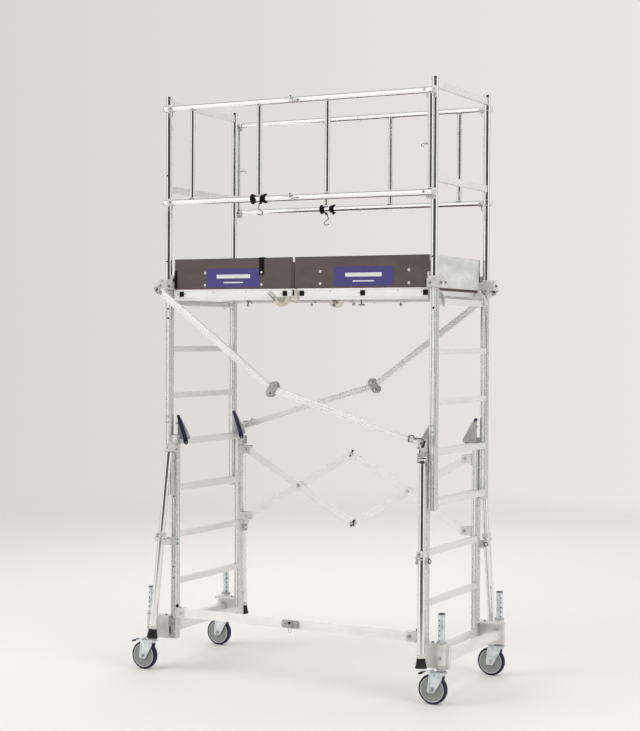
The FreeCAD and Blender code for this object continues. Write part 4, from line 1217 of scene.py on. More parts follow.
@dataclass
class Guard:
    """One side guard of two hinged halves."""

    flank: Flank
    rail_y: float = -0.379
    high: float = 3.014
    low: float = 2.515
    spindles: tuple[float, ...] = (-0.604, -0.196)
    far_spindles: tuple[float, ...] = (0.202, 0.773)

    def build(self) -> None:
        """Build both halves with their joints and fittings."""
        tag = self.flank.tag
        eased(f"guard_{tag}_pivot", POLISHED_X, f"guard_{tag}", 0.0006)
        eased(f"guard_{tag}_free", POLISHED_X, f"guard_{tag}_fold", 0.0006)
        self.near_half(tag)
        self.far_half(tag)
        self.clip(tag)

    def near_half(self, tag: str) -> None:
        """Dress the half that turns on its post.

        Args:
            tag: the flank's word in the CAD names.
        """
        place = self.flank.place()
        cast, steel = Shape(place), Shape(place)
        for level in (self.high, self.low):
            cast.lathe([(0.0176, 0.0), (0.0198, 0.0012), (0.0198, 0.030), (0.0176, 0.0312)],
                       (-0.752, self.rail_y, level), (1, 0, 0), closed=True)
            cast.lathe([(0.0192, -0.0150), (0.0212, -0.0142), (0.0216, 0.0), (0.0212, 0.0142),
                        (0.0192, 0.0150)], (-0.778, -0.340, level), closed=True)
            cast.block((-0.0400, -0.4115, level + 0.0005), (-0.0040, -0.3970, level + 0.0150),
                       0.0030)
            steel.rod((0, -0.405, level - 0.0170), (0, -0.405, level + 0.0175), 0.0042)
            steel.rivet((0, -0.405, level + 0.0172), (0, 0, 1), 0.0062)
            for x in (-0.030, -0.016):
                steel.rivet((x, -0.4108, level + 0.0075), (0, -1, 0), 0.0036)
            steel.bolt((-0.736, self.rail_y - 0.0196, level), (0, -1, 0), 0.0105)
            hook = ((-0.733, 0.018), (-0.730, 0.036), (-0.742, 0.044), (-0.756, 0.038),
                    (-0.757, 0.026))
            steel.wire([(x, self.rail_y, level - drop) for x, drop in hook], 0.0022)
            self.welds(cast, self.spindles, level)
        self.rail_end(cast, -0.7885)
        cast.finish(f"guard_castings_{tag}", CAST_BRIGHT, f"guard_{tag}")
        steel.finish(f"guard_pins_{tag}", BOLT_STEEL, f"guard_{tag}")

    def far_half(self, tag: str) -> None:
        """Dress the half that folds.

        Args:
            tag: the flank's word in the CAD names.
        """
        place = self.flank.place()
        body = f"guard_{tag}_fold"
        cast, steel = Shape(place), Shape(place)
        for level in (self.high, self.low):
            cast.block((0.0040, -0.4115, level - 0.0150), (0.0400, -0.3970, level - 0.0005),
                       0.0030)
            for x in (0.016, 0.030):
                steel.rivet((x, -0.4108, level - 0.0075), (0, -1, 0), 0.0036)
            steel.bolt((0.743, self.rail_y - 0.0174, level), (0, -1, 0), 0.0095)
            cast.block((0.744, -0.3720, level - 0.0330), (0.800, -0.3630, level - 0.0165),
                       0.0030)
            self.welds(cast, self.far_spindles, level)
        steel.rod((0.7570, self.rail_y, 2.752), (0.7350, self.rail_y, 2.752), 0.0040)
        steel.wire([(0.735, self.rail_y, 2.752), (0.727, self.rail_y, 2.753),
                    (0.722, self.rail_y, 2.744), (0.728, self.rail_y, 2.736),
                    (0.737, self.rail_y, 2.738)], 0.0020)
        self.rail_end(cast, 0.7985)
        cast.finish(f"guard_castings_far_{tag}", CAST_BRIGHT, body)
        steel.finish(f"guard_pins_far_{tag}", BOLT_STEEL, body)

    def welds(self, shape: Shape, places: Sequence[float], level: float) -> None:
        """Add the weld ring where each spindle meets a rail.

        Args:
            shape: the shape that takes the rings.
            places: the spindles' places along the rail.
            level: the rail's height.
        """
        way = -1 if level == self.high else 1
        for x in places:
            base = (x, self.rail_y, level + way * 0.0140)
            bead = [(0.0148, 0.0), (0.0186, 0.0004), (0.0180, 0.0044), (0.0152, 0.0066)]
            shape.lathe(bead, base, (0, 0, way), closed=True)

    def rail_end(self, shape: Shape, x: float) -> None:
        """Add the domed coupling on the open end of each rail.

        Args:
            shape: the shape that takes the couplings.
            x: the rails' end.
        """
        way = 1 if x > 0 else -1
        dome = [(0.0, 0.0056), (0.0110, 0.0048), (0.0168, 0.0018), (0.0188, -0.0030),
                (0.0190, -0.0130), (0.0174, -0.0140)]
        for level in (self.high, self.low):
            shape.lathe(dome, (x, self.rail_y, level), (way, 0, 0))

    def clip(self, tag: str) -> None:
        """Build the black clip with its hanging hook on the middle rail.

        Args:
            tag: the flank's word in the CAD names.
        """
        place = self.flank.place()
        if self.flank is Flank.FRONT:
            x, body = -0.196, f"guard_{tag}"
        else:
            x, body = 0.191, f"guard_{tag}_fold"
        clip, hook = Shape(place), Shape(place)
        for way in (-1, 1):
            band = [(0.0176, 0.0), (0.0196, 0.0), (0.0212, 0.008), (0.0246, 0.019),
                    (0.0262, 0.024), (0.0238, 0.0255), (0.0176, 0.0215)]
            clip.lathe(band, (x + way * 0.0165, self.rail_y, self.low), (way, 0, 0),
                       closed=True)
            lug = x + way * 0.0225
            clip.block((lug - 0.006, self.rail_y - 0.0290, self.low - 0.030),
                       (lug + 0.006, self.rail_y - 0.0160, self.low + 0.006), 0.004)
        mid, out = x + 0.016, self.rail_y - 0.024
        bends = ((-0.002, 0.024), (0.002, 0.038), (-0.012, 0.050), (0.006, 0.062),
                 (0.024, 0.074), (0.008, 0.092), (-0.012, 0.080))
        hook.wire([(mid + side, out, self.low - drop) for side, drop in bends], 0.0024)
        clip.finish(f"guard_clip_{tag}", BLACK, body)
        hook.finish(f"guard_clip_hook_{tag}", DARK_WIRE, body)


@dataclass
class Posts:
    """The guard posts, their caps, the clamps that hold them and the end bars."""

    x: float = 0.778
    y: float = 0.340
    hole_z: tuple[float, ...] = (2.20, 2.66)
    tab_z: tuple[float, ...] = (3.048, 2.588)

    def build(self) -> None:
        """Build the posts' fittings."""
        eased("guard_posts", POLISHED_Z, "upper_tower", 0.0016)
        eased("end_bars", EXTRUDED_Y, "upper_tower", 0.0018)
        eased("post_clamps", CAST_BRIGHT, "upper_tower", 0.0055)
        cast, bolts, black, holes = Shape(), Shape(), Shape(), Shape()
        for corner in Corner:
            place = corner.mirror()
            cast.lathe([(0.0191, -0.004), (0.0270, -0.004), (0.0270, 0.009), (0.0248, 0.012),
                        (0.0191, 0.012)], (self.x, self.y, 2.092), closed=True, local=place)
            cast.block((0.748, 0.3265, 2.086), (0.7575, 0.3535, 2.126), 0.0035, local=place)
            cast.block((0.822, 0.318, 2.084), (0.832, 0.352, 2.104), 0.0035, local=place)
            bolts.rod((0.742, self.y, 2.116), (0.7635, self.y, 2.116), 0.0032, local=place)
            for x in (0.762, 0.820):
                bolts.bolt((x, 0.3618, 2.071), (0, 1, 0), 0.013, local=place)
            bolts.bolt((0.8358, 0.335, 2.071), (1, 0, 0), 0.013, local=place)
            bolts.lathe([(0.0, 0.0150), (0.0165, 0.0150), (0.0200, 0.0168), (0.0212, 0.0150),
                         (0.0220, 0.0160), (0.0, 0.0160)], (self.x, self.y, 3.066),
                        local=place)
            black.block((0.7475, 0.3330, 2.0935), (0.7515, 0.3470, 2.1080), 0.0012, local=place)
            # Black discs of painted shade stand in for the holes in the posts.
            for z in self.hole_z:
                holes.spot((self.x, self.y + 0.0190, z), (0, 1, 0), 0.0040, local=place)
            for z in self.tab_z:
                cast.block((self.x - 0.0115, 0.3175, z - 0.0190),
                           (self.x + 0.0115, 0.3225, z + 0.0190), 0.0018, local=place)
        cast.finish("post_clamp_sleeves", CAST_BRIGHT, "upper_tower")
        bolts.finish("post_clamp_bolts", BOLT_STEEL, "upper_tower")
        black.finish("post_clamp_springs", BLACK, "upper_tower")
        holes.finish("guard_post_hole_painted_shade", BLACK, "upper_tower")


@dataclass
class Platform:
    """The two-part platform with its beams, deck, hatch, grips and hooks."""

    top: float = 2.049
    beam_y: float = 0.3225
    beam_x: tuple[float, float] = (0.006, 0.745)
    plug_x: tuple[float, ...] = (-0.698, -0.065, 0.035, 0.384, 0.731)
    rivet_x: tuple[float, ...] = (-0.50, -0.30, 0.20, 0.58)
    screw_x: tuple[float, ...] = (-0.60, -0.46, -0.32, -0.19, 0.10, 0.30, 0.50, 0.68)
    hinge_x: tuple[float, ...] = (-0.545, -0.245)
    hook_x: tuple[float, ...] = (-0.243, 0.136, 0.262, 0.640)

    def build(self) -> None:
        """Build every part of the platform."""
        self.beams()
        self.deck()
        self.grips()
        self.under_hooks()

    def beams(self) -> None:
        """Build the side beams, the cross tubes and the plugs."""
        beams, plugs, rivets = Shape(), Shape(), Shape()
        mid = self.top - 0.0295
        outline = channelled(0.059, 0.025, ((-0.020, 0.016), (), (-0.020, 0.016), ()),
                             0.0032, 0.0020, 0.0022)
        for sx in (-1, 1):
            for sy in (-1, 1):
                start, end = sorted((sx * self.beam_x[0], sx * self.beam_x[1]))
                beams.extrude(outline, (start, sy * self.beam_y, mid),
                              (end, sy * self.beam_y, mid), (0, 0, 1), 0.0006)
        for sy in (-1, 1):
            face = sy * (self.beam_y + 0.0125)
            for x in self.plug_x:
                low, high = sorted((face - sy * 0.001, face + sy * 0.0035))
                plugs.block((x - 0.0135, low, 2.0110), (x + 0.0135, high, 2.0380), 0.0022)
                for side in (-0.024, 0.024):
                    rivets.rivet((x + side, face, 2.026), (0, sy, 0), 0.0034)
            for x in self.rivet_x:
                rivets.rivet((x, face, 2.034), (0, sy, 0), 0.0034)
        beams.finish("side_beam_profiles", EXTRUDED_X, "upper_tower", ("side_beams",))
        plugs.finish("side_beam_plugs", BLACK, "upper_tower")
        rivets.finish("side_beam_rivets", BOLT_STEEL, "upper_tower")
        eased("cross_tubes", EXTRUDED_Y, "upper_tower", 0.0018)
        eased("platform_claws", CAST_BRIGHT, "upper_tower", 0.0020)

    def deck(self) -> None:
        """Build the boards, the hatch with its hinges and pull, and the trims."""
        for node in ("deck_left", "deck_right"):
            eased(node, TREAD, "upper_tower", 0.0008)
        eased("hatch", TREAD, "hatch", 0.0010)
        trim, screws = Shape(), Shape()
        top = self.top
        for low, high in (((-0.664, -0.239, top), (-0.126, -0.2355, top + 0.0022)),
                          ((-0.664, 0.2355, top), (-0.126, 0.239, top + 0.0022)),
                          ((-0.664, -0.239, top), (-0.6605, 0.239, top + 0.0022)),
                          ((-0.1295, -0.239, top), (-0.126, 0.239, top + 0.0022)),
                          ((-0.008, -0.309, top), (-0.0015, 0.309, top + 0.0022)),
                          ((0.0015, -0.309, top), (0.010, 0.309, top + 0.0022))):
            trim.block(low, high, 0.0006)
        trim.finish("deck_trims", EXTRUDED_X, "upper_tower")
        for x in self.screw_x:
            for y in (-0.285, 0.285):
                screws.rivet((x, y, top), (0, 0, 1), 0.0050)
        screws.finish("deck_screws", BOLT_STEEL, "upper_tower")
        plate, pins, pull = Shape(), Shape(), Shape()
        for x in self.hinge_x:
            plate.block((x - 0.030, 0.196, top - 0.0002),
                        (x + 0.030, 0.2315, top + 0.0018), 0.0008)
            pins.rod((x - 0.034, 0.235, top + 0.0010), (x + 0.034, 0.235, top + 0.0010), 0.0034)
            for side in (-0.018, 0.018):
                pins.rivet((x + side, 0.212, top + 0.0018), (0, 0, 1), 0.0034)
        pull.extrude(rounded(0.100, 0.036, 0.014), (-0.395, -0.185, top - 0.0004),
                     (-0.395, -0.185, top + 0.0020), (1, 0, 0), 0.0006)
        pins.wire([(-0.425, -0.190, top + 0.0036), (-0.425, -0.172, top + 0.0038),
                   (-0.395, -0.166, top + 0.0040), (-0.365, -0.172, top + 0.0038),
                   (-0.365, -0.190, top + 0.0036)], 0.0022)
        plate.finish("hatch_hinges", EXTRUDED_X, "hatch")
        pins.finish("hatch_pins", BOLT_STEEL, "hatch")
        pull.finish("hatch_pull_plate", BLACK, "hatch")

    def grips(self) -> None:
        """Build the front's two half-disc grips and each side's stay and latch, with their
        painted shade.
        """
        discs, inner, latch, dark = Shape(), Shape(), Shape(), Shape()
        for flank in Flank:
            turn = flank.turn()
            if flank is Flank.FRONT:
                self.half_disc(discs, inner, (-0.080, -0.3415, 2.0040), 0.0490, -6, turn)
                self.half_disc(discs, inner, (0.232, -0.3260, 1.9930), 0.0440, 0, turn)
            slope = turn @ turned_about((-0.140, -0.3415, 2.020), "Y", 42)
            discs.block((-0.163, -0.3475, 2.0145), (-0.117, -0.3355, 2.0265), 0.004,
                        local=slope)
            # A thin black strip along and below the stay's lower edge: a painted shade line.
            dark.block((-0.160, -0.3482, 2.0100), (-0.100, -0.3470, 2.0140), 0.0006,
                       local=slope)
            latch.block((-0.006, -0.3440, 1.974), (0.015, -0.3345, 2.046), 0.0040, local=turn)
            latch.block((-0.024, -0.3440, 2.010), (-0.014, -0.3350, 2.044), 0.0030, local=turn)
            # A black strip in the gap between the latch's two parts: painted shade.
            dark.block((-0.0135, -0.3440, 2.012), (-0.0095, -0.3352, 2.042), 0.0010, local=turn)
            latch.bolt((0.0045, -0.3438, 2.036), (0, -1, 0), 0.009, local=turn)
            latch.bolt((0.0045, -0.3438, 1.984), (0, -1, 0), 0.009, local=turn)
        discs.finish("platform_grips", CREAM, "upper_tower")
        inner.finish("platform_grip_painted_shade", CREAM_PAINTED_SHADE, "upper_tower")
        latch.finish("platform_latches", CREAM, "upper_tower")
        dark.finish("platform_grip_painted_shade_lines", BLACK, "upper_tower")

    def half_disc(self, disc: Shape, painted_middle_shade: Shape, centre: Point, radius: float,
                  lean: float, place: Matrix) -> None:
        """Add one half-disc with a smaller, darker half-disc on its middle as painted shade,
        hanging below its centre.

        Args:
            disc: the shape that takes the disc.
            painted_middle_shade: the shape that takes the darker middle, which is painted shade.
            centre: the middle of the straight side.
            radius: the disc's radius.
            lean: its turn about Y in degrees.
            place: the flank's transform.
        """
        cx, cy, cz = centre
        turn = place @ turned_about(centre, "Y", lean)
        # The smaller, darker half-disc laid just in front of each grip is painted shade.
        for shape, share, front in ((disc, 1.0, 0.0050), (painted_middle_shade, 0.56, 0.0056)):
            arc = [Vector((share * radius * math.cos(a), share * radius * math.sin(a), 0))
                   for a in (math.radians(180 + 180 * k / 18) for k in range(19))]
            shape.extrude(arc, (cx, cy + 0.0060, cz), (cx, cy - front, cz), (1, 0, 0), 0.0010,
                          local=turn)

    def under_hooks(self) -> None:
        """Build the small hooks and knobs under the front side beam."""
        steel = Shape(Matrix())
        for x in self.hook_x:
            steel.block((x - 0.010, -0.334, 1.9805), (x + 0.014, -0.320, 1.9905), 0.003)
            steel.wire([(x, -0.327, 1.984), (x - 0.002, -0.328, 1.974),
                        (x - 0.006, -0.331, 1.962), (x + 0.004, -0.334, 1.958),
                        (x + 0.006, -0.334, 1.968)], 0.0036)
            steel.rod((x + 0.013, -0.329, 1.986), (x + 0.022, -0.329, 1.974), 0.0040)
        steel.rod((0.418, -0.326, 1.991), (0.418, -0.326, 1.966), 0.0042)
        steel.rod((0.402, -0.326, 1.964), (0.434, -0.326, 1.964), 0.0046)
        steel.finish("under_beam_hooks", HOOK_STEEL, "upper_tower")


@dataclass
class ToeBoards:
    """The boards round the deck, with plain labels, rivets and a strap."""

    face: float = 0.330
    rivet_x: tuple[float, ...] = (-0.554, -0.207, 0.139, 0.638)
    rivet_z: tuple[float, ...] = (2.136, 2.072)
    labels: tuple[tuple[float, float], ...] = ((-0.545, -0.214), (0.217, 0.554))
    label_z: float = 2.1085
    label_height: float = 0.098

    def build(self) -> None:
        """Build the boards and what is fixed to them."""
        eased("toe_boards_side", TOE_FILM, "upper_tower", 0.0012)
        eased("toe_boards_end", PALE, "upper_tower", 0.0012)
        sheet, lines, rivets, black, joint = (Shape() for _ in range(5))
        for flank in Flank:
            turn = flank.turn()
            front = -self.face
            for left, right in self.labels:
                mid = (left + right) / 2
                sheet.extrude(rounded(right - left, self.label_height, 0.008),
                              (mid, front + 0.0004, self.label_z),
                              (mid, front - 0.0006, self.label_z), (1, 0, 0), local=turn)
                for width, tall, drop in ((0.205, 0.020, -0.008), (0.120, 0.0065, 0.024)):
                    level = self.label_z - drop
                    lines.extrude(rounded(width, tall, 0.003), (mid, front - 0.0004, level),
                                  (mid, front - 0.0010, level), (1, 0, 0), local=turn)
            for x in self.rivet_x:
                for z in self.rivet_z:
                    rivets.rivet((x, front, z), (0, -1, 0), 0.0070, local=turn)
            black.block((-0.222, front - 0.0022, 2.122), (-0.192, front + 0.0005, 2.2145),
                        0.0008, local=turn)
            black.block((-0.222, front - 0.0022, 2.2120), (-0.192, front + 0.0142, 2.2148),
                        0.0008, local=turn)
            black.block((-0.7468, front - 0.0030, 2.056), (-0.7300, front + 0.0005, 2.148),
                        0.0012, local=turn)
            black.block((0.7300, front - 0.0030, 2.056), (0.7462, front + 0.0005, 2.090),
                        0.0012, local=turn)
            joint.block((-0.0262, front + 0.0008, 2.056), (-0.0108, front + 0.0100, 2.186),
                        0.0006, local=turn)
            self.end_trims(black, rivets, turn)
        sheet.finish("toe_labels", LABEL, "upper_tower")
        lines.finish("toe_label_bars", LABEL_PALE, "upper_tower")
        rivets.finish("toe_board_rivets", LABEL_PALE, "upper_tower")
        black.finish("toe_board_straps", BLACK, "upper_tower")
        joint.finish("toe_board_joints", TREAD, "upper_tower")
        self.faint_labels()

    def end_trims(self, black: Shape, rivets: Shape, turn: Matrix) -> None:
        """Add the rivets and the corner clip of one end board.

        Args:
            black: the shape that takes the clip.
            rivets: the shape that takes the rivets.
            turn: the flank's turn.
        """
        for y in (-0.270, 0.270):
            for z in (2.086, 2.176):
                rivets.rivet((0.7460, y, z), (1, 0, 0), 0.0060, local=turn)
        black.block((0.7455, -0.300, 2.060), (0.7480, -0.286, 2.120), 0.0010, local=turn)

    def faint_labels(self) -> None:
        """Add the faint plain panel on the inner face of each end board."""
        faint = Shape()
        for flank in Flank:
            turn = flank.turn()
            faint.extrude(rounded(0.190, 0.060, 0.006), (0.7364, -0.06, 2.140),
                          (0.7356, -0.06, 2.140), (0, 1, 0), local=turn)
            faint.extrude(rounded(0.190, 0.060, 0.006), (0.7457, -0.06, 2.140),
                          (0.7465, -0.06, 2.140), (0, 1, 0), local=turn)
        faint.finish("toe_end_labels", LABEL_FAINT, "upper_tower")


@dataclass
class Brace:
    """One folding diagonal brace."""

    flank: Flank
    top: tuple[float, float, float] = (-0.775, -0.420, 2.034)
    elbow: tuple[float, float, float] = (-0.086, -0.420, 1.530)
    foot: tuple[float, float, float] = (0.750, -0.420, 1.283)
    plate_lean: float = 58.0

    def build(self) -> None:
        """Build the upper and lower parts with the elbow between them."""
        tag = self.flank.tag
        self.upper(tag, f"brace_{tag}")
        self.lower(tag, f"brace_{tag}_foot")

    def section(self, thick: float) -> list[Vector]:
        """Return the brace tube's grooved section."""
        return channelled(0.035, thick, ((-0.007, 0.007), (), (-0.007, 0.007), ()),
                          0.0034, 0.0020, 0.0035)

    def upper(self, tag: str, body: str) -> None:
        """Build the upper tube, its rounded end, the pivot bolt and elbow plates.

        Args:
            tag: the flank's word in the CAD names.
            body: the CAD body it rides on.
        """
        place = self.flank.place()
        tube, cast, steel = Shape(place), Shape(place), Shape(place)
        top, elbow = Vector(self.top), Vector(self.elbow)
        way = (elbow - top).normalized()
        start = top - way * 0.010
        tube.extrude(self.section(0.023), start, elbow - way * 0.021, (0, 0, 1), 0.0006)
        end = top - way * 0.014
        for point, radius in ((end, 0.0185), (top - way * 0.030, 0.0150)):
            cast.rod(point - Vector((0, 0.0115, 0)), point + Vector((0, 0.0115, 0)), radius,
                     edge=0.0025)
        steel.bolt(top - Vector((0, 0.0115, 0)), (0, -1, 0), 0.017)
        steel.bolt(top - way * 0.030 - Vector((0, 0.0115, 0)), (0, -1, 0), 0.010)
        slope = math.radians(self.plate_lean)
        lean = Vector((math.cos(slope), 0, math.sin(slope)))
        for side in (-1, 1):
            y = self.elbow[1] + side * 0.0115
            plate = turned_about((elbow.x, y, elbow.z), "Y", -self.plate_lean)
            cast.extrude(rounded(0.088, 0.046, 0.022), (elbow.x, y, elbow.z),
                         (elbow.x, y + side * 0.004, elbow.z), (1, 0, 0), 0.001, local=plate)
            for along in (-0.024, 0.024):
                spot = elbow + lean * along
                steel.bolt((spot.x, y + side * 0.004, spot.z), (0, side, 0), 0.012)
        tube.finish(f"brace_upper_profile_{tag}", EXTRUDED_X, body, (f"brace_upper_{tag}",))
        cast.finish(f"brace_elbow_{tag}", CAST, body)
        steel.finish(f"brace_upper_bolts_{tag}", BOLT_STEEL, body)

    def lower(self, tag: str, body: str) -> None:
        """Build the lower tube, its boss, black end cap and wire latch.

        Args:
            tag: the flank's word in the CAD names.
            body: the CAD body it rides on.
        """
        place = self.flank.place()
        tube, black, steel, wire = (Shape(place) for _ in range(4))
        elbow, foot = Vector(self.elbow), Vector(self.foot)
        way = (foot - elbow).normalized()
        tube.extrude(self.section(0.022), elbow + way * 0.012, foot + way * 0.014,
                     (0, 0, 1), 0.0006)
        tube.rod(elbow - Vector((0, 0.0108, 0)), elbow + Vector((0, 0.0108, 0)), 0.0168)
        angle = math.degrees(math.atan2(-way.z, way.x))
        turn = turned_about(foot, "Y", angle)
        black.block((foot.x + 0.009, foot.y - 0.0125, foot.z - 0.0190),
                    (foot.x + 0.018, foot.y + 0.0125, foot.z + 0.0190), 0.0035, local=turn)
        front = foot.y - 0.0150
        wire.wire([(0.690, front, foot.z + 0.004), (0.688, front, foot.z + 0.016),
                   (0.692, front, foot.z + 0.037), (0.706, front, foot.z + 0.039),
                   (0.716, front, foot.z + 0.038), (0.719, front, foot.z + 0.026),
                   (0.740, front, foot.z + 0.025), (0.768, front, foot.z + 0.024),
                   (0.770, front, foot.z + 0.008), (0.762, front, foot.z - 0.014)], 0.0025)
        steel.block((0.700, foot.y - 0.0110, foot.z + 0.0170),
                    (0.764, foot.y + 0.0080, foot.z + 0.0230), 0.0014)
        steel.bolt((foot.x, foot.y - 0.0110, foot.z), (0, -1, 0), 0.015)
        steel.rivet((0.704, foot.y - 0.0110, foot.z + 0.0080), (0, -1, 0), 0.006)
        tube.finish(f"brace_lower_profile_{tag}", EXTRUDED_X, body, (f"brace_lower_{tag}",))
        black.finish(f"brace_end_cap_{tag}", BLACK, body)
        steel.finish(f"brace_foot_bolts_{tag}", BOLT_STEEL, body)
        wire.finish(f"brace_foot_latch_{tag}", DARK_WIRE, body)


@dataclass
class Stabiliser:
    """One telescoping stabiliser, drawn along its own axis from the pivot down."""

    corner: Corner
    leg_top: float = 0.455
    drop: float = 0.978

    def __post_init__(self) -> None:
        """Find the pivot and the direction from the joints."""
        tag = self.corner.tag
        joints = {item["name"]: item for item in frame["joints"]}
        pivot = Vector(joints[f"stabiliser_{tag}_swing"]["pos_m"])
        along = Vector(joints[f"stabiliser_{tag}_extend"]["axis"]).normalized()
        out = Vector((0, self.corner.signs[1], 0))
        side = (out - along * out.dot(along)).normalized()
        turn = Matrix((side, along.cross(side), along)).transposed().to_4x4()
        self.at = Matrix.Translation(pivot) @ turn

    def build(self) -> None:
        """Build the inner arm, the outer leg, its collar and rubber foot."""
        tag = self.corner.tag
        eased(f"stay_arm_{tag}", POLISHED_Z, f"stabiliser_{tag}", 0.0010)
        leg, collar, rubber, steel = (Shape(self.at) for _ in range(4))
        top, end = self.leg_top, self.drop
        leg.lathe([(0.0182, top), (0.0204, top), (0.0200, top + 0.030), (0.0200, end + 0.002),
                   (0.0182, end + 0.002)], closed=True, steps=40)
        collar.lathe([(0.0200, top - 0.0006), (0.0230, top + 0.0006), (0.0238, top + 0.008),
                      (0.0238, top + 0.018), (0.0230, top + 0.0256), (0.0200, top + 0.0262)],
                     closed=True, steps=40)
        collar.lathe([(0.0199, 0.0), (0.0212, 0.0006), (0.0212, 0.0052), (0.0199, 0.0058)],
                     (0, 0, top + 0.036), closed=True, steps=40)
        collar.lathe([(0.0199, 0.0), (0.0216, 0.0008), (0.0216, 0.0190), (0.0199, 0.0200)],
                     (0, 0, end - 0.024), closed=True, steps=40)
        collar.block((0.0205, -0.013, top - 0.004), (0.0385, 0.013, top + 0.028), 0.004)
        steel.bolt((0.0385, 0.0, top + 0.012), (1, 0, 0), 0.013)
        steel.wire([(0.036, -0.004, top + 0.022), (0.046, -0.012, top + 0.034),
                    (0.050, 0.0, top + 0.046), (0.046, 0.012, top + 0.034),
                    (0.036, 0.004, top + 0.022)], 0.0026)
        rubber.lathe([(0.0, end - 0.008), (0.0206, end - 0.008), (0.0216, end - 0.004),
                      (0.0220, end + 0.004), (0.0230, end + 0.012), (0.0248, end + 0.022),
                      (0.0276, end + 0.034), (0.0296, end + 0.040), (0.0296, end + 0.0445),
                      (0.0262, end + 0.0450), (0.0, end + 0.0450)], steps=40)
        leg.finish(f"stay_leg_tube_{tag}", POLISHED_Z, f"stabiliser_leg_{tag}",
                   (f"stay_leg_{tag}",))
        collar.finish(f"stay_collar_{tag}", CAST_BRIGHT, f"stabiliser_leg_{tag}")
        rubber.finish(f"stay_foot_{tag}", RUBBER, f"stabiliser_leg_{tag}")
        steel.finish(f"stay_screw_{tag}", BOLT_STEEL, f"stabiliser_leg_{tag}")
        pins = Shape(self.at)
        pins.bolt((0.0186, 0, 0.0), (1, 0, 0), 0.010)
        pins.finish(f"stay_pivot_nut_{tag}", BOLT_STEEL, f"stabiliser_{tag}")


@dataclass
class FrameCastings:
    """The brackets on the lower frames that hold the stabilisers and braces."""

    brace_bolts: tuple[float, ...] = (1.218, 1.192)
    clip_bolts: tuple[float, ...] = (0.688, 0.711)

    def build(self) -> None:
        """Build the brackets and their bolts, plates and pull rings."""
        eased("frame_castings", CAST_BRIGHT, "base", 0.0024)
        bolts, plates, dark = Shape(), Shape(), Shape()
        for corner in Corner:
            place = corner.mirror()
            for z in self.brace_bolts:
                bolts.bolt((0.7165, 0.3545, z), (-1, 0, 0), 0.007, local=place)
                bolts.bolt((0.7535, 0.3545, z), (1, 0, 0), 0.007, local=place)
            for x in (0.7038, 0.7638):
                plates.block((x, 0.3500, 0.6780), (x + 0.0024, 0.3722, 0.7220), 0.0010,
                             local=place)
            for z in self.clip_bolts:
                bolts.bolt((0.7038, 0.361, z), (-1, 0, 0), 0.010, local=place)
                bolts.bolt((0.7662, 0.361, z), (1, 0, 0), 0.010, local=place)
            dark.wire([(0.768, 0.362, 0.700), (0.776, 0.368, 0.712), (0.786, 0.370, 0.704),
                       (0.784, 0.370, 0.690), (0.773, 0.366, 0.688)], 0.0022, True, local=place)
        bolts.finish("frame_casting_bolts", BOLT_STEEL, "base")
        plates.finish("frame_casting_plates", ZINC, "base")
        dark.finish("frame_casting_rings", BLACK, "base")


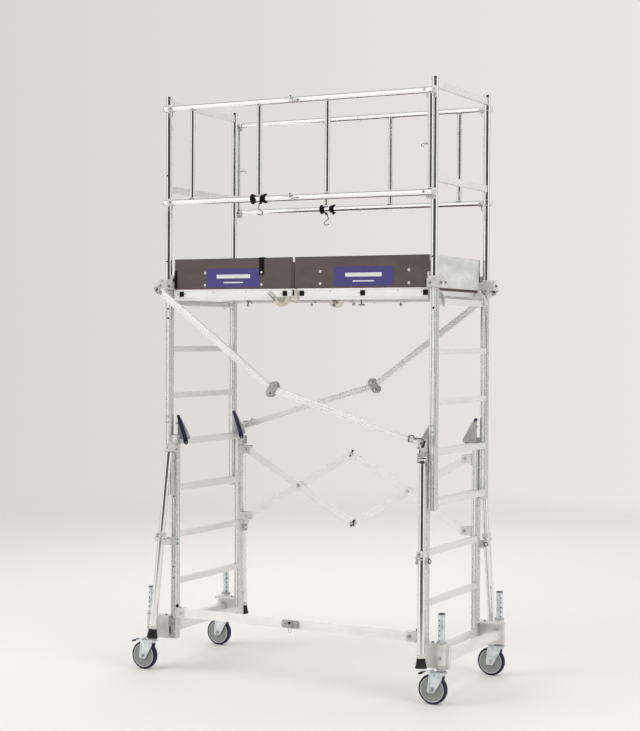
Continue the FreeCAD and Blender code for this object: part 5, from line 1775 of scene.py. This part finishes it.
@dataclass
class Studio:
    """The pale floor, the soft lights and the camera."""

    eye: tuple[float, float, float] = (3.986, -7.497, 1.810)
    yaw: float = 0.4877
    pitch: float = -0.0192
    roll: float = 0.0053
    lens: float = 78.04
    floor_radius: float = 16.0
    floor_fade: tuple[float, float] = (2.6, 11.0)
    boxes: tuple[tuple[str, Point, float, float], ...] = (
        ("key_box", (-5.0, -4.0, 5.5), 4.0, 190.0),
        ("fill_box", (6.0, -2.0, 4.5), 4.0, 125.0),
        ("top_box", (0.0, 1.0, 7.5), 5.0, 85.0),
        ("back_box", (-2.0, 6.0, 4.0), 4.0, 60.0))

    def build(self) -> None:
        """Build the whole studio."""
        bpy.context.scene.view_settings.view_transform = "Standard"
        self.camera()
        self.floor()
        self.sky()
        self.lights()

    def camera(self) -> None:
        """Place the camera."""
        data = bpy.data.cameras.new("camera")
        data.lens = self.lens
        data.sensor_width = 36.0
        data.clip_end = 200.0
        eye = bpy.data.objects.new("camera", data)
        bpy.context.scene.collection.objects.link(eye)
        ahead = Vector((-math.sin(self.yaw) * math.cos(self.pitch),
                        math.cos(self.yaw) * math.cos(self.pitch), math.sin(self.pitch)))
        right = ahead.cross(Vector((0, 0, 1))).normalized()
        up = right.cross(ahead)
        turned = right * math.cos(self.roll) + up * math.sin(self.roll)
        raised = up * math.cos(self.roll) - right * math.sin(self.roll)
        turn = Matrix((turned, raised, -ahead)).transposed().to_4x4()
        eye.matrix_world = Matrix.Translation(self.eye) @ turn
        bpy.context.scene.camera = eye

    def floor(self) -> None:
        """Build a wide round floor that fades into the backdrop."""
        part = bmesh.new()
        bmesh.ops.create_circle(part, cap_ends=True, segments=96, radius=self.floor_radius)
        mesh = bpy.data.meshes.new("studio_floor")
        part.to_mesh(mesh)
        part.free()
        tree = Tree("floor_paper")
        tree.set(Base_Color=(0.80, 0.785, 0.76, 1.0), Roughness=0.8)
        clear = tree.add("BsdfTransparent")
        blend = tree.add("MixShader")
        far = tree.add("VectorMath", {"operation": "LENGTH"}, Vector=tree.coords)
        fade = tree.add("MapRange", {"interpolation_type": "SMOOTHSTEP"},
                        Value=far.outputs["Value"], From_Min=self.floor_fade[0],
                        From_Max=self.floor_fade[1])
        tree.link(fade.outputs["Result"], blend.inputs[0])
        tree.link(tree.shader.outputs[0], blend.inputs[1])
        tree.link(clear.outputs[0], blend.inputs[2])
        tree.link(blend.outputs[0], tree.output.inputs["Surface"])
        mesh.materials.append(tree.material)
        floor = bpy.data.objects.new("studio_floor", mesh)
        bpy.context.scene.collection.objects.link(floor)

    def sky(self) -> None:
        """Light the surroundings: a pale wall to look at, and bands that light the metal."""
        world = bpy.data.worlds.new("studio")
        bpy.context.scene.world = world
        world.use_nodes = True
        nodes, links = world.node_tree.nodes, world.node_tree.links
        nodes.clear()
        right = (math.cos(self.yaw), math.sin(self.yaw), 0.0)
        back = (math.sin(self.yaw), -math.cos(self.yaw), 0.0)
        wall = self.graded(world.node_tree, right, (
            (0.38, (0.680, 0.655, 0.615)), (0.62, (0.845, 0.815, 0.790))))
        bands = self.graded(world.node_tree, back, (
            (0.02, (0.80, 0.79, 0.77)), (0.42, (0.74, 0.73, 0.71)),
            (0.50, (0.08, 0.08, 0.08)), (0.54, (0.10, 0.10, 0.10)),
            (0.60, (1.08, 1.07, 1.04)), (0.85, (1.15, 1.14, 1.11)),
            (0.89, (0.10, 0.10, 0.10)), (1.0, (0.06, 0.06, 0.06))))
        seen = nodes.new("ShaderNodeLightPath").outputs["Is Camera Ray"]
        mix = nodes.new("ShaderNodeMixShader")
        for index, source in enumerate((seen, bands, wall)):
            links.new(source, mix.inputs[index])
        out = nodes.new("ShaderNodeOutputWorld")
        links.new(mix.outputs[0], out.inputs["Surface"])

    def graded(self, tree: bpy.types.NodeTree, way: Point,
               stops: Iterable[tuple[float, Point]]) -> bpy.types.NodeSocket:
        """Grade a background from one side of the world to the other.

        Args:
            tree: the world's node tree.
            way: the level direction that the grading runs in.
            stops: pairs of a place from 0 to 1 and a colour.

        Returns:
            The background's socket.
        """
        coords = tree.nodes.new("ShaderNodeTexCoord").outputs["Generated"]
        dot = tree.nodes.new("ShaderNodeVectorMath")
        dot.operation = "DOT_PRODUCT"
        dot.inputs[1].default_value = way
        spread = tree.nodes.new("ShaderNodeMapRange")
        spread.inputs["From Min"].default_value = -1.0
        ramp = tree.nodes.new("ShaderNodeValToRGB")
        background = tree.nodes.new("ShaderNodeBackground")
        tree.links.new(coords, dot.inputs[0])
        tree.links.new(dot.outputs["Value"], spread.inputs["Value"])
        tree.links.new(spread.outputs["Result"], ramp.inputs["Fac"])
        tree.links.new(ramp.outputs["Color"], background.inputs["Color"])
        points = ramp.color_ramp.elements
        for index, (place, colour) in enumerate(stops):
            point = points[index] if index < 2 else points.new(place)
            point.position = place
            point.color = (*colour, 1.0)
        return background.outputs[0]

    def lights(self) -> None:
        """Hang the large soft boxes."""
        for name, place, size, power in self.boxes:
            data = bpy.data.lights.new(name, "AREA")
            data.size = size
            data.energy = power
            lamp = bpy.data.objects.new(name, data)
            bpy.context.scene.collection.objects.link(lamp)
            lamp.visible_glossy = False
            aim = Vector((0, 0, 1.4)) - Vector(place)
            turn = aim.to_track_quat("-Z", "Y").to_matrix().to_4x4()
            lamp.matrix_world = Matrix.Translation(place) @ turn


def main() -> None:
    """Build the sub-assemblies in order."""
    logging.basicConfig(level=logging.INFO, format="%(message)s")
    Studio().build()
    LadderFrames().build()
    BaseCastings().build()
    Scissor().build()
    Ledger().build()
    Hooks().build()
    Posts().build()
    Platform().build()
    ToeBoards().build()
    FrameCastings().build()
    for flank in Flank:
        Guard(flank).build()
        Brace(flank).build()
    for corner in Corner:
        Caster(corner).build()
        Stabiliser(corner).build()


if __name__ == "__main__":
    main()
